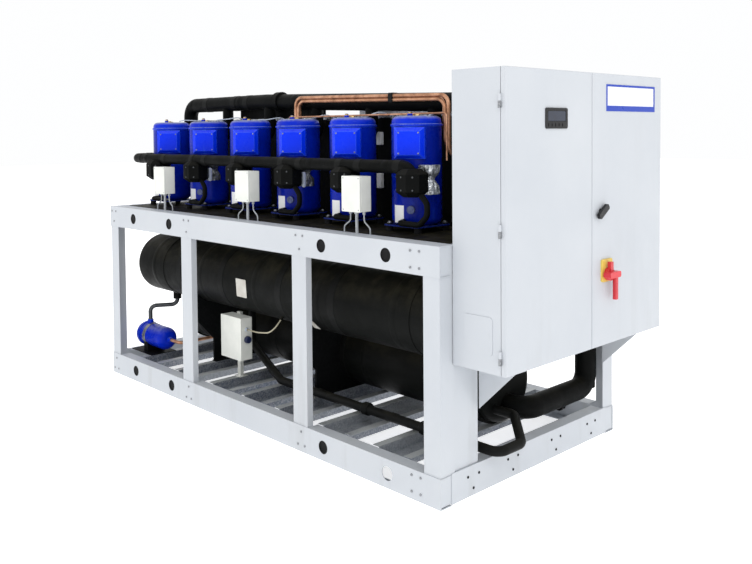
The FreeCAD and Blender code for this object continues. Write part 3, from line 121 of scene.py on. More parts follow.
# ---------------------------------------------------------------- materials
class Paint:
    """A node material being built: keeps the tree, its shader and a short way to add nodes."""

    def __init__(self, name):
        self.material = bpy.data.materials.new(name)
        self.material.use_nodes = True
        self.tree = self.material.node_tree
        self.shader = self.tree.nodes["Principled BSDF"]
        self.place = self.add("ShaderNodeTexCoord").outputs["Object"]

    def add(self, kind, **settings):
        node = self.tree.nodes.new(kind)
        for key, value in settings.items():
            setattr(node, key, value)
        return node

    def join(self, source, target):
        self.tree.links.new(source, target)

    def set(self, **values):
        """Sets the shader's own sockets; an underscore stands for a space in the name."""
        for key, value in values.items():
            self.shader.inputs[key.replace("_", " ")].default_value = value

    def noise(self, scale, detail=4.0, rough=0.55, stretch=None):
        """A noise value over the surface; a stretch below 1 draws it out along that axis."""
        source = self.place
        if stretch:
            mapping = self.add("ShaderNodeMapping")
            mapping.inputs["Scale"].default_value = stretch
            self.join(source, mapping.inputs["Vector"])
            source = mapping.outputs["Vector"]
        node = self.add("ShaderNodeTexNoise")
        node.inputs["Scale"].default_value = scale
        node.inputs["Detail"].default_value = detail
        node.inputs["Roughness"].default_value = rough
        self.join(source, node.inputs["Vector"])
        return node.outputs["Fac"]

    def cells(self, scale):
        """Voronoi cells, and the channels of their random colour."""
        cells = self.add("ShaderNodeTexVoronoi")
        cells.inputs["Scale"].default_value = scale
        self.join(self.place, cells.inputs["Vector"])
        tint = self.add("ShaderNodeSeparateColor")
        self.join(cells.outputs["Color"], tint.inputs["Color"])
        return cells, tint

    def ramp(self, value, stops):
        """A colour ramp; stops are (position, colour) pairs."""
        node = self.add("ShaderNodeValToRGB")
        elements = node.color_ramp.elements
        while len(elements) < len(stops):
            elements.new(0.5)
        for element, (position, colour) in zip(elements, stops):
            element.position = position
            element.color = colour + (1.0,)
        self.join(value, node.inputs["Fac"])
        return node.outputs["Color"]

    def clouds(self, scale, detail, dark, light, full=0.7):
        """Dark and light patches; the colour is all light where the noise is over full."""
        return self.ramp(self.noise(scale, detail), [(0.3, dark), (full, light)])

    def span(self, value, low, high, start=0.0, end=1.0):
        """Maps low..high to start..end, clamped."""
        node = self.add("ShaderNodeMapRange")
        node.inputs["From Min"].default_value = low
        node.inputs["From Max"].default_value = high
        node.inputs["To Min"].default_value = start
        node.inputs["To Max"].default_value = end
        self.join(value, node.inputs["Value"])
        return node.outputs["Result"]

    def roughness(self, scale, low, high):
        """A roughness that wanders between low and high."""
        return self.span(self.noise(scale), 0.3, 0.7, low, high)

    def multiply(self, first, second):
        """The product of a value and a value or number."""
        node = self.add("ShaderNodeMath", operation="MULTIPLY")
        self.join(first, node.inputs[0])
        if isinstance(second, float):
            node.inputs[1].default_value = second
        else:
            self.join(second, node.inputs[1])
        return node.outputs["Value"]

    def mix(self, factor, colour, over):
        """Lays a plain colour over another by the factor."""
        node = self.add("ShaderNodeMix", data_type="RGBA")
        sockets = {socket.name: socket for socket in node.inputs if socket.enabled}
        self.join(factor, sockets["Factor"])
        self.join(colour, sockets["A"])
        sockets["B"].default_value = over + (1.0,)
        return [socket for socket in node.outputs if socket.enabled][0]

    def axis(self, which):
        """One coordinate of the surface in metres, from the object's own origin."""
        node = self.add("ShaderNodeSeparateXYZ")
        self.join(self.place, node.inputs["Vector"])
        return node.outputs[which]

    def upward(self):
        """How much the surface faces up: 1 on a level top, 0 on an upright side."""
        geometry = self.add("ShaderNodeNewGeometry")
        parts = self.add("ShaderNodeSeparateXYZ")
        self.join(geometry.outputs["Normal"], parts.inputs["Vector"])
        return parts.outputs["Z"]

    def edges(self, radius):
        """Near 1 on sharp edges, 0 on flat faces."""
        bevel = self.add("ShaderNodeBevel", samples=4)
        bevel.inputs["Radius"].default_value = radius
        geometry = self.add("ShaderNodeNewGeometry")
        dot = self.add("ShaderNodeVectorMath", operation="DOT_PRODUCT")
        self.join(bevel.outputs["Normal"], dot.inputs[0])
        self.join(geometry.outputs["Normal"], dot.inputs[1])
        return self.span(dot.outputs["Value"], 1.0, 0.75)

    def bump(self, height, strength, distance, below=None):
        """A bump of the height; below is a bump that it lies on."""
        node = self.add("ShaderNodeBump")
        node.inputs["Strength"].default_value = strength
        node.inputs["Distance"].default_value = distance
        self.join(height, node.inputs["Height"])
        if below is not None:
            self.join(below, node.inputs["Normal"])
        return node.outputs["Normal"]

    def finish(self, colour, rough=None, normal=None):
        self.join(colour, self.shader.inputs["Base Color"])
        if rough is not None:
            self.join(rough, self.shader.inputs["Roughness"])
        if normal is not None:
            self.join(normal, self.shader.inputs["Normal"])
        return self.material


def powder_coat(name, light, dark):
    """Sprayed powder paint on folded sheet: orange peel, faint streaks, more dirt near the floor,
    worn edges."""
    p = Paint(name)
    colour = p.clouds(1.7, 5.0, dark, light)
    streak = p.span(p.noise(9.0, 6.0, stretch=(1.0, 1.0, 0.12)), 0.56, 0.8)
    grime = p.multiply(streak, p.span(p.axis("Z"), 1.2, 0.0, 0.15, 1.0))
    colour = p.mix(p.multiply(grime, 0.35), colour, (0.34, 0.34, 0.33))
    colour = p.mix(p.multiply(p.edges(0.003), 0.22), colour, (0.50, 0.51, 0.53))
    p.set(Specular_IOR_Level=0.3)
    return p.finish(colour, p.roughness(14.0, 0.40, 0.55), p.bump(p.noise(420.0, 2.0), 0.12, 0.0006))


def galvanised(name):
    """Spangled zinc: grey-blue crystals, dark flecks, pale bloom, and a painted highlight on the lips
    of the floor's trough beams."""
    p = Paint(name)
    tint = p.cells(130.0)[1]
    colour = p.ramp(tint.outputs["Red"], [
        (0.0, (0.16, 0.18, 0.22)), (0.5, (0.26, 0.285, 0.33)), (1.0, (0.40, 0.42, 0.46))])
    fleck = p.span(p.noise(26.0, 8.0, 0.72, stretch=(1.0, 0.25, 1.0)), 0.54, 0.68)
    colour = p.mix(p.multiply(fleck, 0.55), colour, (0.06, 0.08, 0.15))
    pale = p.span(p.noise(3.5, 4.0, stretch=(1.0, 0.15, 1.0)), 0.45, 0.7)
    colour = p.mix(p.multiply(pale, 0.5), colour, (0.55, 0.57, 0.58))
    # Painted highlight: the top lips of the floor beams, between z 0.139 and 0.20, paler in patches.
    lip_highlight = p.multiply(p.span(p.axis("Z"), 0.1385, 0.1395), p.span(p.axis("Z"), 0.20, 0.19))
    patches = p.span(p.noise(18.0, 6.0, stretch=(1.0, 0.3, 1.0)), 0.35, 0.55, 0.35, 0.9)
    colour = p.mix(p.multiply(lip_highlight, patches), colour, (0.55, 0.57, 0.57))
    p.set(Metallic=0.35, Specular_IOR_Level=0.4)
    rough = p.span(tint.outputs["Green"], 0.0, 1.0, 0.34, 0.55)
    return p.finish(colour, rough, p.bump(p.noise(90.0), 0.15, 0.0006))


def zinc(name):
    """Plated fasteners with a dull bloom."""
    p = Paint(name)
    colour = p.clouds(160.0, 5.0, (0.16, 0.17, 0.18), (0.42, 0.43, 0.45), 0.75)
    p.set(Metallic=0.8)
    return p.finish(colour, p.roughness(240.0, 0.3, 0.5), p.bump(p.noise(500.0), 0.1, 0.0003))


def compressor_blue(name, light, dark, rim, dusty, painted_base_shade=0.0):
    """Thick enamel over pressed steel: pale edges, partly worn paint and partly a painted highlight,
    runs, grey dust on what faces up, and painted shade that darkens the shell near the deck."""
    p = Paint(name)
    colour = p.clouds(5.0, 4.0, dark, light)
    run = p.span(p.noise(26.0, 6.0, stretch=(1.0, 1.0, 0.25)), 0.6, 0.78)
    colour = p.mix(p.multiply(run, 0.18), colour, rim)
    # Pale blue along the edges: worn paint, and also a painted highlight on the bevels.
    colour = p.mix(p.multiply(p.edges(0.006), 0.75), colour, rim)
    specks = p.span(p.noise(30.0, 8.0, 0.7), 0.36, 0.6, 0.35, 1.0)
    dust = p.multiply(p.span(p.upward(), 0.45, 0.95), specks)
    colour = p.mix(p.multiply(dust, dusty), colour, (0.30, 0.33, 0.38))
    # Painted shade: the shell turns nearly black below z 1.20, fully under 1.15, in noisy patches.
    if painted_base_shade:
        base_shade_patches = p.span(p.noise(22.0, 6.0), 0.3, 0.6, 0.7, 1.0)
        grime = p.multiply(p.span(p.axis("Z"), 1.20, 1.15), base_shade_patches)
        colour = p.mix(p.multiply(grime, painted_base_shade), colour, (0.003, 0.004, 0.008))
    p.set(Specular_IOR_Level=0.10, Coat_Weight=0.04, Coat_Roughness=0.2)
    return p.finish(colour, p.roughness(30.0, 0.22, 0.36), p.bump(p.noise(160.0, 3.0), 0.12, 0.0007))


def foam(name, light, dark, dusty, dust_and_sheen_from, specular):
    """Closed-cell rubber insulation: matte black, cell grain, soft dents, glued seams, and brownish
    dust on what faces up by more than a given amount, which on the vessels is also a painted highlight band."""
    p = Paint(name)
    colour = p.clouds(3.2, 6.0, dark, light, 0.75)
    # Brownish tint on what faces up: dust, and on the vessels also a painted highlight band.
    dust = p.multiply(p.span(p.upward(), dust_and_sheen_from, 1.0), p.span(p.noise(11.0, 6.0), 0.42, 0.7, 0.25, 1.0))
    colour = p.mix(p.multiply(dust, dusty), colour, (0.050, 0.045, 0.028))
    wave = p.add("ShaderNodeTexWave", wave_type="BANDS", bands_direction="X", wave_profile="SIN")
    wave.inputs["Scale"].default_value = 0.55
    wave.inputs["Distortion"].default_value = 0.6
    p.join(p.place, wave.inputs["Vector"])
    seams = p.bump(p.span(wave.outputs["Fac"], 0.985, 1.0), 0.5, 0.004)
    dents = p.bump(p.noise(7.0, 3.0), 0.35, 0.012, seams)
    grain = p.bump(p.noise(260.0, 3.0), 0.25, 0.0012, dents)
    p.set(Specular_IOR_Level=specular)
    return p.finish(colour, p.roughness(8.0, 0.42, 0.6), grain)


def copper(name):
    """Drawn tube, dulled and brown in places, with brighter spots."""
    p = Paint(name)
    colour = p.ramp(p.noise(24.0, 6.0), [
        (0.28, (0.24, 0.11, 0.06)), (0.5, (0.50, 0.25, 0.14)), (0.78, (0.72, 0.42, 0.27))])
    p.set(Metallic=0.65)
    draw_marks = p.noise(300.0, stretch=(0.1, 1.0, 1.0))
    return p.finish(colour, p.roughness(60.0, 0.28, 0.5), p.bump(draw_marks, 0.12, 0.0004))


def cast_metal(name, light, dark, metal, rough, scale=60.0, specular=0.5):
    """Rough metal with brighter worn edges; scale sets the size of its grain."""
    p = Paint(name)
    worn = tuple(min(1.0, 1.8 * channel) for channel in light)
    colour = p.mix(p.multiply(p.edges(0.003), 0.4), p.clouds(scale, 5.0, dark, light), worn)
    p.set(Metallic=metal, Specular_IOR_Level=specular)
    return p.finish(colour, p.roughness(scale * 0.6, *rough), p.bump(p.noise(scale * 5.0), 0.25, 0.0008))


def moulded(name, light, dark, rough=(0.35, 0.5), grain=700.0, specular=0.5, depth=0.15):
    """Injection-moulded plastic with spark-eroded grain and rubbed edges."""
    p = Paint(name)
    rubbed = tuple(min(1.0, 1.3 * channel + 0.03) for channel in light)
    colour = p.mix(p.multiply(p.edges(0.002), 0.3), p.clouds(12.0, 4.0, dark, light), rubbed)
    p.set(Specular_IOR_Level=specular)
    return p.finish(colour, p.roughness(40.0, *rough), p.bump(p.noise(grain, 2.0), depth, 0.0005))


def foil(name, light, dark, metal=0.85):
    """Crumpled aluminium tape: many small flat facets with sharp creases."""
    p = Paint(name)
    cells, tint = p.cells(70.0)
    colour = p.ramp(tint.outputs["Red"], [(0.0, dark), (1.0, light)])
    p.set(Metallic=metal)
    rough = p.span(tint.outputs["Green"], 0.0, 1.0, 0.22, 0.45)
    creases = p.bump(cells.outputs["Distance"], 0.7, 0.004)
    return p.finish(colour, rough, p.bump(p.noise(120.0, 5.0), 0.4, 0.002, creases))


def bordered_plate(name, node):
    """White enamel, and blue on the node's raised border, the last third of its thickness."""
    p = Paint(name)
    low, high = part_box(node)
    raised = low.x + 0.7 * (high.x - low.x) - NODES[node].matrix_world.translation.x
    white = p.clouds(3.0, 4.0, (0.80, 0.82, 0.86), (0.86, 0.88, 0.91))
    colour = p.mix(p.span(p.axis("X"), raised, raised + 0.0002), white, (0.006, 0.045, 0.42))
    p.set(Specular_IOR_Level=0.4)
    return p.finish(colour, p.roughness(20.0, 0.25, 0.35), p.bump(p.noise(380.0, 2.0), 0.1, 0.0004))


FRAME_LIGHT = (0.564, 0.588, 0.620)
FRAME_DARK = (0.520, 0.547, 0.585)
ENAMEL = (0.001, 0.026, 0.60)
ENAMEL_DARK = (0.0006, 0.016, 0.42)
ENAMEL_RIM = (0.07, 0.20, 0.90)
BLACK = (0.012, 0.012, 0.013)
BLACK_DARK = (0.006, 0.006, 0.007)
CLEAN_FOAM = (0.0048, 0.0052, 0.0050)
CLEAN_FOAM_DARK = (0.0024, 0.0028, 0.0027)
LOOKS = {
    "frame_paint": powder_coat("frame_paint", FRAME_LIGHT, FRAME_DARK),
    "galvanised": galvanised("galvanised"),
    "zinc": zinc("zinc"),
    "blue_paint": compressor_blue("blue_paint", ENAMEL, ENAMEL_DARK, ENAMEL_RIM, dusty=0.35),
    "cast_steel": cast_metal("cast_steel", (0.36, 0.36, 0.37), (0.20, 0.20, 0.21), metal=0.8,
                             rough=(0.3, 0.5)),
    "rubber": moulded("rubber", BLACK, BLACK_DARK, (0.6, 0.8), grain=400.0, specular=0.15),
    "sight_brass": cast_metal("sight_brass", (0.085, 0.105, 0.20), (0.03, 0.04, 0.11), metal=0.6,
                              rough=(0.25, 0.45), scale=90.0),
    "insulation": foam("insulation", (0.0075, 0.008, 0.0075), (0.0035, 0.004, 0.004), dusty=0.22,
                       dust_and_sheen_from=0.35, specular=0.10),
    "copper": copper("copper"),
    "dark_steel": cast_metal("dark_steel", (0.0075, 0.008, 0.0085), (0.0035, 0.004, 0.0045), metal=0.1,
                             rough=(0.5, 0.65), specular=0.08),
    "black_plastic": moulded("black_plastic", (0.012, 0.012, 0.014), BLACK_DARK, (0.25, 0.4),
                             specular=0.3),
    "yellow_plastic": moulded("yellow_plastic", (0.80, 0.60, 0.12), (0.66, 0.47, 0.08)),
    "red_plastic": moulded("red_plastic", (0.70, 0.035, 0.05), (0.52, 0.02, 0.03), (0.25, 0.4)),
    "plate_paint": bordered_plate("plate_paint", "name_plate"),
    "switchgear_plastic": moulded("switchgear_plastic", (0.22, 0.22, 0.23), (0.12, 0.12, 0.13)),
    "box_plastic": moulded("box_plastic", (0.80, 0.81, 0.76), (0.72, 0.735, 0.69), (0.4, 0.55)),
    "conduit_plastic": moulded("conduit_plastic", (0.46, 0.48, 0.50), (0.34, 0.36, 0.38), (0.4, 0.6)),
    "cord_jacket": moulded("cord_jacket", (0.50, 0.46, 0.34), (0.36, 0.33, 0.23), (0.5, 0.65), grain=900.0),
}
# Caps, terminal covers and shells share one blue paint at three brightnesses: the covers lighter as painted
# light, the shells darker as painted shade.
CAP_LOOK = compressor_blue("cap_enamel", ENAMEL, ENAMEL_DARK, ENAMEL_RIM, dusty=0.9)
BOX_LOOK = compressor_blue("cover_enamel_painted_light", (0.001, 0.036, 0.92), (0.0005, 0.028, 0.80), (0.10, 0.27, 0.98),
                           dusty=0.2)
SHELL_LOOK = compressor_blue("shell_enamel_painted_shade", (0.0008, 0.018, 0.44), (0.0004, 0.009, 0.24),
                             # The shells get painted shade at their base.
                             (0.04, 0.13, 0.72), dusty=0.2, painted_base_shade=0.9)
# On the vessels the brownish tint reaches down to faces that tilt only a little up: a painted highlight band
# along the upper front, as well as dust.
VESSEL_LOOK = foam("vessel_foam", (0.0070, 0.0075, 0.0068), (0.0030, 0.0036, 0.0034), dusty=0.9,
                   dust_and_sheen_from=0.15, specular=0.06)
HEADER_LOOK = foam("header_foam", CLEAN_FOAM, CLEAN_FOAM_DARK, dusty=0.2, dust_and_sheen_from=0.4, specular=0.05)
# The backing panel's near-black foam stands in for the shade and the dark pipes behind the compressors.
PANEL_LOOK = foam("panel_foam", CLEAN_FOAM, CLEAN_FOAM_DARK, dusty=1.0, dust_and_sheen_from=0.7, specular=0.05)
PIPE_LOOK = cast_metal("steel_pipe", (0.10, 0.105, 0.11), (0.045, 0.05, 0.055), metal=0.6,
                       rough=(0.3, 0.5), scale=50.0, specular=0.4)
OWN_LOOKS = {"compressor_caps": CAP_LOOK, "terminal_boxes": BOX_LOOK, "drier_pipe": PIPE_LOOK,
             "evaporator_shell": VESSEL_LOOK, "condenser_shell": VESSEL_LOOK,
             "suction_manifold": HEADER_LOOK, "discharge_manifold": HEADER_LOOK,
             "backing_panel": PANEL_LOOK}
OWN_LOOKS.update(("compressor_shell_%d" % number, SHELL_LOOK) for number in range(1, 7))

for entry in frame["record"]["subparts"]:
    data = NODES[entry["node"]].data
    data.materials.clear()
    data.materials.append(OWN_LOOKS.get(entry["node"], LOOKS[entry["material_slot"]]))
SENSOR_LEAD.data.materials.append(LOOKS["cord_jacket"])

LABEL_LOOK = moulded("label_film", (0.93, 0.94, 0.95), (0.88, 0.89, 0.90), (0.3, 0.42), grain=500.0,
                     specular=0.4, depth=0.08)
STICKER_LOOK = moulded("sticker_film", (0.66, 0.65, 0.60), (0.50, 0.47, 0.42), (0.35, 0.5), grain=300.0,
                       specular=0.4, depth=0.08)
NAVY_LOOK = moulded("navy_plastic", (0.010, 0.020, 0.075), (0.006, 0.010, 0.040), (0.3, 0.45), grain=500.0,
                    specular=0.4)
PALE_LOOK = moulded("pale_plastic", (0.62, 0.68, 0.78), (0.50, 0.56, 0.66), (0.3, 0.45), grain=500.0)
GLASS_LOOK = moulded("screen_glass", (0.012, 0.022, 0.050), (0.006, 0.010, 0.026), (0.05, 0.12),
                     grain=900.0, specular=0.8, depth=0.02)
TAPE_LOOK = foam("foam_tape", (0.0085, 0.009, 0.0085), (0.0045, 0.005, 0.005), dusty=0.3,
                 dust_and_sheen_from=0.35, specular=0.08)
FOIL_LOOK = foil("crumpled_foil", (0.78, 0.80, 0.82), (0.36, 0.38, 0.40))
DULL_FOIL_LOOK = foil("darker_foil", (0.22, 0.23, 0.24), (0.07, 0.075, 0.08), metal=0.6)
EDGE_FOIL_LOOK = foil("folded_edge", (0.60, 0.63, 0.66), (0.26, 0.28, 0.30), metal=0.7)
TRAY_LOOK = moulded("tray_enamel", (0.80, 0.82, 0.85), (0.70, 0.72, 0.76), (0.35, 0.5), grain=400.0,
                    specular=0.4, depth=0.1)
BRASS_LOOK = cast_metal("brass_cap", (0.60, 0.44, 0.20), (0.42, 0.29, 0.11), metal=0.9, rough=(0.22, 0.4),
                        scale=120.0)


# ---------------------------------------------------------------- detail pieces
X_AXIS, Y_AXIS, Z_AXIS = (1, 0, 0), (0, 1, 0), (0, 0, 1)
TO_FRONT = (0, -1, 0)
SHARP_ANGLE = math.radians(38.0)
MERGE_DISTANCE = 1e-6


class Shape:
    """Points and faces gathered from several simple forms, for one piece."""

    def __init__(self):
        self.places = []
        self.faces = []

    def loops(self, loops, closed_ends=True):
        """A skin over rings of equal length, with flat ends."""
        first = len(self.places)
        count = len(loops[0])
        for loop in loops:
            self.places += loop
        for row in range(len(loops) - 1):
            for k in range(count):
                a = first + row * count + k
                b = first + row * count + (k + 1) % count
                self.faces.append((a, b, b + count, a + count))
        if closed_ends:
            self.faces.append(tuple(first + k for k in reversed(range(count))))
            self.faces.append(tuple(first + (len(loops) - 1) * count + k for k in range(count)))

    def turned(self, centre, axis, profile, segments=28, closed_ends=True):
        """A turned form; the profile is (along, radius) pairs."""
        axis = Vector(axis).normalized()
        side = axis.orthogonal().normalized()
        other = axis.cross(side)
        loops = []
        for along, radius in profile:
            loops.append([Vector(centre) + axis * along
                          + (side * math.cos(2 * math.pi * k / segments)
                             + other * math.sin(2 * math.pi * k / segments)) * radius
                          for k in range(segments)])
        self.loops(loops, closed_ends)

    def sleeve(self, centre, axis, inner, outer, width, ease=0.0015, segments=48):
        """A ring with eased edges, such as a turn of tape or a clamp."""
        half = width / 2
        profile = [(-half, inner), (-half, outer - ease), (-half + ease, outer),
                   (half - ease, outer), (half, outer - ease), (half, inner)]
        self.turned(centre, axis, profile + [profile[0]], segments, False)

    def tapes(self, centres, axis, radius, width, thick=0.0015, segments=48):
        """Turns of tape round a pipe of that radius."""
        for centre in centres:
            self.sleeve(centre, axis, radius - 0.0001, radius + thick, width, segments=segments)

    def card(self, centre, across, up, width, height, thick, corner, ease=0.0008):
        """A thin plate with round corners and an eased front edge."""
        across, up = Vector(across).normalized(), Vector(up).normalized()
        out = across.cross(up)
        loops = []
        for depth, inset in ((0.0, 0.0), (thick - ease, 0.0), (thick, ease)):
            loop = []
            for quarter in range(4):
                sx = (1, -1, -1, 1)[quarter]
                sz = (1, 1, -1, -1)[quarter]
                for step in range(5):
                    turn = math.radians(90 * quarter + 22.5 * step)
                    x = sx * (width / 2 - corner) + math.cos(turn) * (corner - inset)
                    z = sz * (height / 2 - corner) + math.sin(turn) * (corner - inset)
                    loop.append(Vector(centre) + across * x + up * z + out * depth)
            loops.append(loop)
        self.loops(loops)

    def wrapped_card(self, axis_place, radius, turn, z, width, height, thick):
        """A thin label bent round an upright cylinder."""
        steps = 10
        first = len(self.places)
        count = 2 * (steps + 1)
        span = width / radius
        arc = [turn - span / 2 + span * k / steps for k in range(steps + 1)]
        for r in (radius, radius + thick):
            self.places += [Vector((axis_place[0] + r * math.cos(a), axis_place[1] + r * math.sin(a), level))
                            for level, turns in ((z, arc), (z + height, arc[::-1])) for a in turns]
        for base, flip in ((first, True), (first + count, False)):
            for k in range(steps):
                quad = (base + k, base + k + 1, base + count - 2 - k, base + count - 1 - k)
                self.faces.append(tuple(reversed(quad)) if flip else quad)
        for k in range(count):
            after = (k + 1) % count
            self.faces.append((first + k, first + after, first + count + after, first + count + k))

    def hexagon(self, centre, axis, radius, height):
        """A bolt head: six sides with an eased top."""
        self.turned(centre, axis, [(0.0, radius), (height * 0.78, radius), (height, radius * 0.84)], 6)

    def piece(self, name, look, slot_name, body="package", smooth=True):
        """Makes the mesh object, which rides on a body of the CAD and takes a material slot."""
        mesh = bpy.data.meshes.new(name)
        mesh.from_pydata([tuple(place) for place in self.places], [], self.faces)
        mesh.materials.append(look)
        mesh.update()
        work = bmesh.new()
        work.from_mesh(mesh)
        bmesh.ops.remove_doubles(work, verts=work.verts, dist=MERGE_DISTANCE)
        bmesh.ops.recalc_face_normals(work, faces=work.faces)
        work.to_mesh(mesh)
        work.free()
        for polygon in mesh.polygons:
            polygon.use_smooth = smooth
        piece = bpy.data.objects.new(name, mesh)
        bpy.context.scene.collection.objects.link(piece)
        if smooth:
            mesh.set_sharp_from_angle(angle=SHARP_ANGLE)
        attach(piece, body)


def shell_axis(number):
    """The foot of a compressor shell's axis."""
    low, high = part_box("compressor_shell_%d" % number)
    return Vector(((low.x + high.x) / 2, (low.y + high.y) / 2, low.z))


# Places and sizes of the CAD that the details sit on, in metres in the shared frame.
SHELLS = [shell_axis(number) for number in range(1, 7)]
FRAME_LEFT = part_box("front_bottom_rail")[0].x
FRAME_SIDE = 0.695
END_FACE = 1.325
DECK = 1.133
SHELL_RADIUS = 0.1225
CAP_TOP = 1.695
PANEL_FACE = -0.1005
PANEL_TOP_EDGE = Vector((-1.500, -0.100, 1.705)), Vector((1.290, -0.089, 1.705))
TRAY_FACE = -0.080
SUCTION_Y, SUCTION_Z, SUCTION_RADIUS = -0.530, 1.455, 0.032
SUCTION_LEFT, SUCTION_DROP_PLACE = -1.617, (-1.487, -0.051)
UPPER_Y, UPPER_Z, UPPER_RADIUS = -0.160, 1.812, 0.048
RISER_PLACE = (1.240, 0.560)
EVAPORATOR_Y, EVAPORATOR_Z, EVAPORATOR_RADIUS = -0.320, 0.725, 0.195
CONDENSER_Y, CONDENSER_Z, CONDENSER_RADIUS = 0.020, 0.352, 0.200
FLOOR_LINE_Y, FLOOR_LINE_Z, FLOOR_LINE_RADIUS = -0.395, 0.190, 0.023
DRIER_X, DRIER_Y, DRIER_Z, DRIER_RADIUS, DRIER_END = -1.502, -0.480, 0.247, 0.074, -1.599
BLOCK_SIDE, BLOCK_Y, BLOCK_RADIUS = 0.144, -0.530, 0.080
COVER_HALF_WIDTH, COVER_DEPTH, COVER_SINK, COVER_MIDDLE = 0.075, 0.046, 0.002, 0.432
SMALL_BOX_LEFTS = (-1.157, -0.252, 0.650)
MIDDLE_BOX_SIDE = -0.410
FOOT_HOLE = 0.09525
LIFTING_HOLES = (0.318, 0.768, 2.213, 2.663)
LIFTING_LEVELS = (0.0675, 1.0655)


def add_labels():
    """Blank white rating labels low on each shell, and blank stickers on the evaporator."""
    for number, axis in enumerate(SHELLS, 1):
        label = Shape()
        label.wrapped_card(axis, SHELL_RADIUS + 0.0002, math.radians(-92), 1.183, 0.062, 0.084, 0.0006)
        label.piece("rating_label_%d" % number, LABEL_LOOK, "plate_paint")
    low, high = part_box("evaporator_shell")
    axis_below_top = 0.1975
    middle_y, middle_z = (low.y + high.y) / 2, high.z - axis_below_top
    for name, x, up, width, height in (("vessel_sticker", -0.396, -4.0, 0.100, 0.108),
                                       ("vessel_label", 0.190, -48.0, 0.050, 0.080)):
        turn = math.radians(up)
        out = Vector((0.0, -math.cos(turn), math.sin(turn)))
        above = Vector((0.0, math.sin(turn), math.cos(turn)))
        place = Vector((x, middle_y, middle_z)) + out * (EVAPORATOR_RADIUS + 0.0002)
        sticker = Shape()
        sticker.card(place, X_AXIS, above, width, height, 0.0016, 0.006)
        sticker.piece(name, STICKER_LOOK, "plate_paint")


def add_foil_wraps():
    """Crumpled foil bound round the shells beside their foam blocks, pinched in the middle."""
    steps, segments = 14, 40
    low_z, high_z = 1.325, 1.462
    # The second and fourth shells get a darker foil than the sixth.
    for number, look in ((6, FOIL_LOOK), (4, DULL_FOIL_LOOK), (2, DULL_FOIL_LOOK)):
        axis = SHELLS[number - 1]
        loops = []
        for row in range(steps + 1):
            share = row / steps
            z = low_z + (high_z - low_z) * share
            radius = 0.050 * (1.0 - 0.42 * math.exp(-((share - 0.5) / 0.16) ** 2))
            middle = Vector((axis.x + 0.136, axis.y - 0.062, z))
            loop = []
            for k in range(segments):
                turn = 2 * math.pi * k / segments
                out = Vector((math.cos(turn), math.sin(turn), 0.0))
                rough = noise.noise(Vector((turn * 2.2, z * 34.0, number * 7.0)))
                fold = noise.noise(Vector((turn * 5.0, z * 16.0, number * 3.0)))
                loop.append(middle + out * radius * (1.0 + 0.13 * rough + 0.10 * fold))
            loops.append(loop)
        wrap = Shape()
        wrap.loops(loops)
        wrap.piece("foil_wrap_%d" % number, look, "zinc", smooth=False)


def add_cap_fittings():
    """On each cap, a round brass valve cap and two hexagon plugs."""
    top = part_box("compressor_caps")[1].z - 0.022
    for number, axis in enumerate(SHELLS, 1):
        fittings = Shape()
        fittings.turned((axis.x - 0.020, axis.y - 0.025, top + 0.012), Z_AXIS,
                        [(0.0, 0.0095), (0.007, 0.0095), (0.0085, 0.008), (0.0088, 0.004)], 12)
        fittings.hexagon((axis.x + 0.045, axis.y - 0.04, top - 0.001), Z_AXIS, 0.011, 0.009)
        fittings.hexagon((axis.x - 0.055, axis.y + 0.035, top - 0.001), Z_AXIS, 0.009, 0.007)
        fittings.piece("cap_valves_%d" % number, BRASS_LOOK, "sight_brass")


def add_cover_screws():
    """Corner screws of the terminal covers, each turned a little less than the one before."""
    face = math.sqrt(SHELL_RADIUS ** 2 - COVER_HALF_WIDTH ** 2) - COVER_SINK + COVER_DEPTH
    corner = 0.049
    for number, axis in enumerate(SHELLS, 1):
        turn = math.radians(50.0 - 4.6 * (number - 1))
        out = Vector((math.sin(turn), -math.cos(turn), 0.0))
        across = Vector((math.cos(turn), math.sin(turn), 0.0))
        screws = Shape()
        for sx in (-1, 1):
            for sz in (-1, 1):
                place = Vector((axis.x, axis.y, DECK + COVER_MIDDLE + sz * corner))
                place += out * face + across * sx * corner
                screws.turned(place, out, [(-0.0005, 0.0042), (0.0014, 0.0042), (0.0022, 0.0032)], 14)
        screws.piece("cover_screws_%d" % number, LOOKS["zinc"], "zinc")


def add_small_box_details():
    """Lid screws of the small boxes, and the middle bay box's navy knob and lead gland."""
    lid_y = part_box("junction_boxes")[0].y
    screws = Shape()
    for left in SMALL_BOX_LEFTS:
        for along in (0.009, 0.117):
            for z in (1.2485, 1.3995):
                screws.turned((left + along, lid_y + 0.0002, z), TO_FRONT, [(0.0, 0.0035), (0.0003, 0.0035)],
                              14)
    screws.piece("lid_screws", LOOKS["zinc"], "zinc")
    ribs, groove = 18, 0.0009
    loops = []
    for along, radius in ((0.001, 0.0205), (0.004, 0.0215), (0.022, 0.0205), (0.0255, 0.018), (0.026, 0.010)):
        loop = []
        for k in range(ribs * 4):
            turn = 2 * math.pi * k / (ribs * 4)
            r = radius - (groove if k % 4 in (1, 2) else 0.0)
            loop.append(Vector((MIDDLE_BOX_SIDE, -0.471, 0.398))
                        + Vector((along, r * math.cos(turn), r * math.sin(turn))))
        loops.append(loop)
    knob = Shape()
    knob.loops(loops)
    knob.piece("box_knob", NAVY_LOOK, "black_plastic")
    gland = Shape()
    gland.turned((MIDDLE_BOX_SIDE + 0.0005, -0.473, 0.458), X_AXIS,
                 [(0.0, 0.0125), (0.005, 0.0125), (0.006, 0.0105), (0.0115, 0.009)], 6)
    gland.piece("lead_gland", PALE_LOOK, "conduit_plastic")


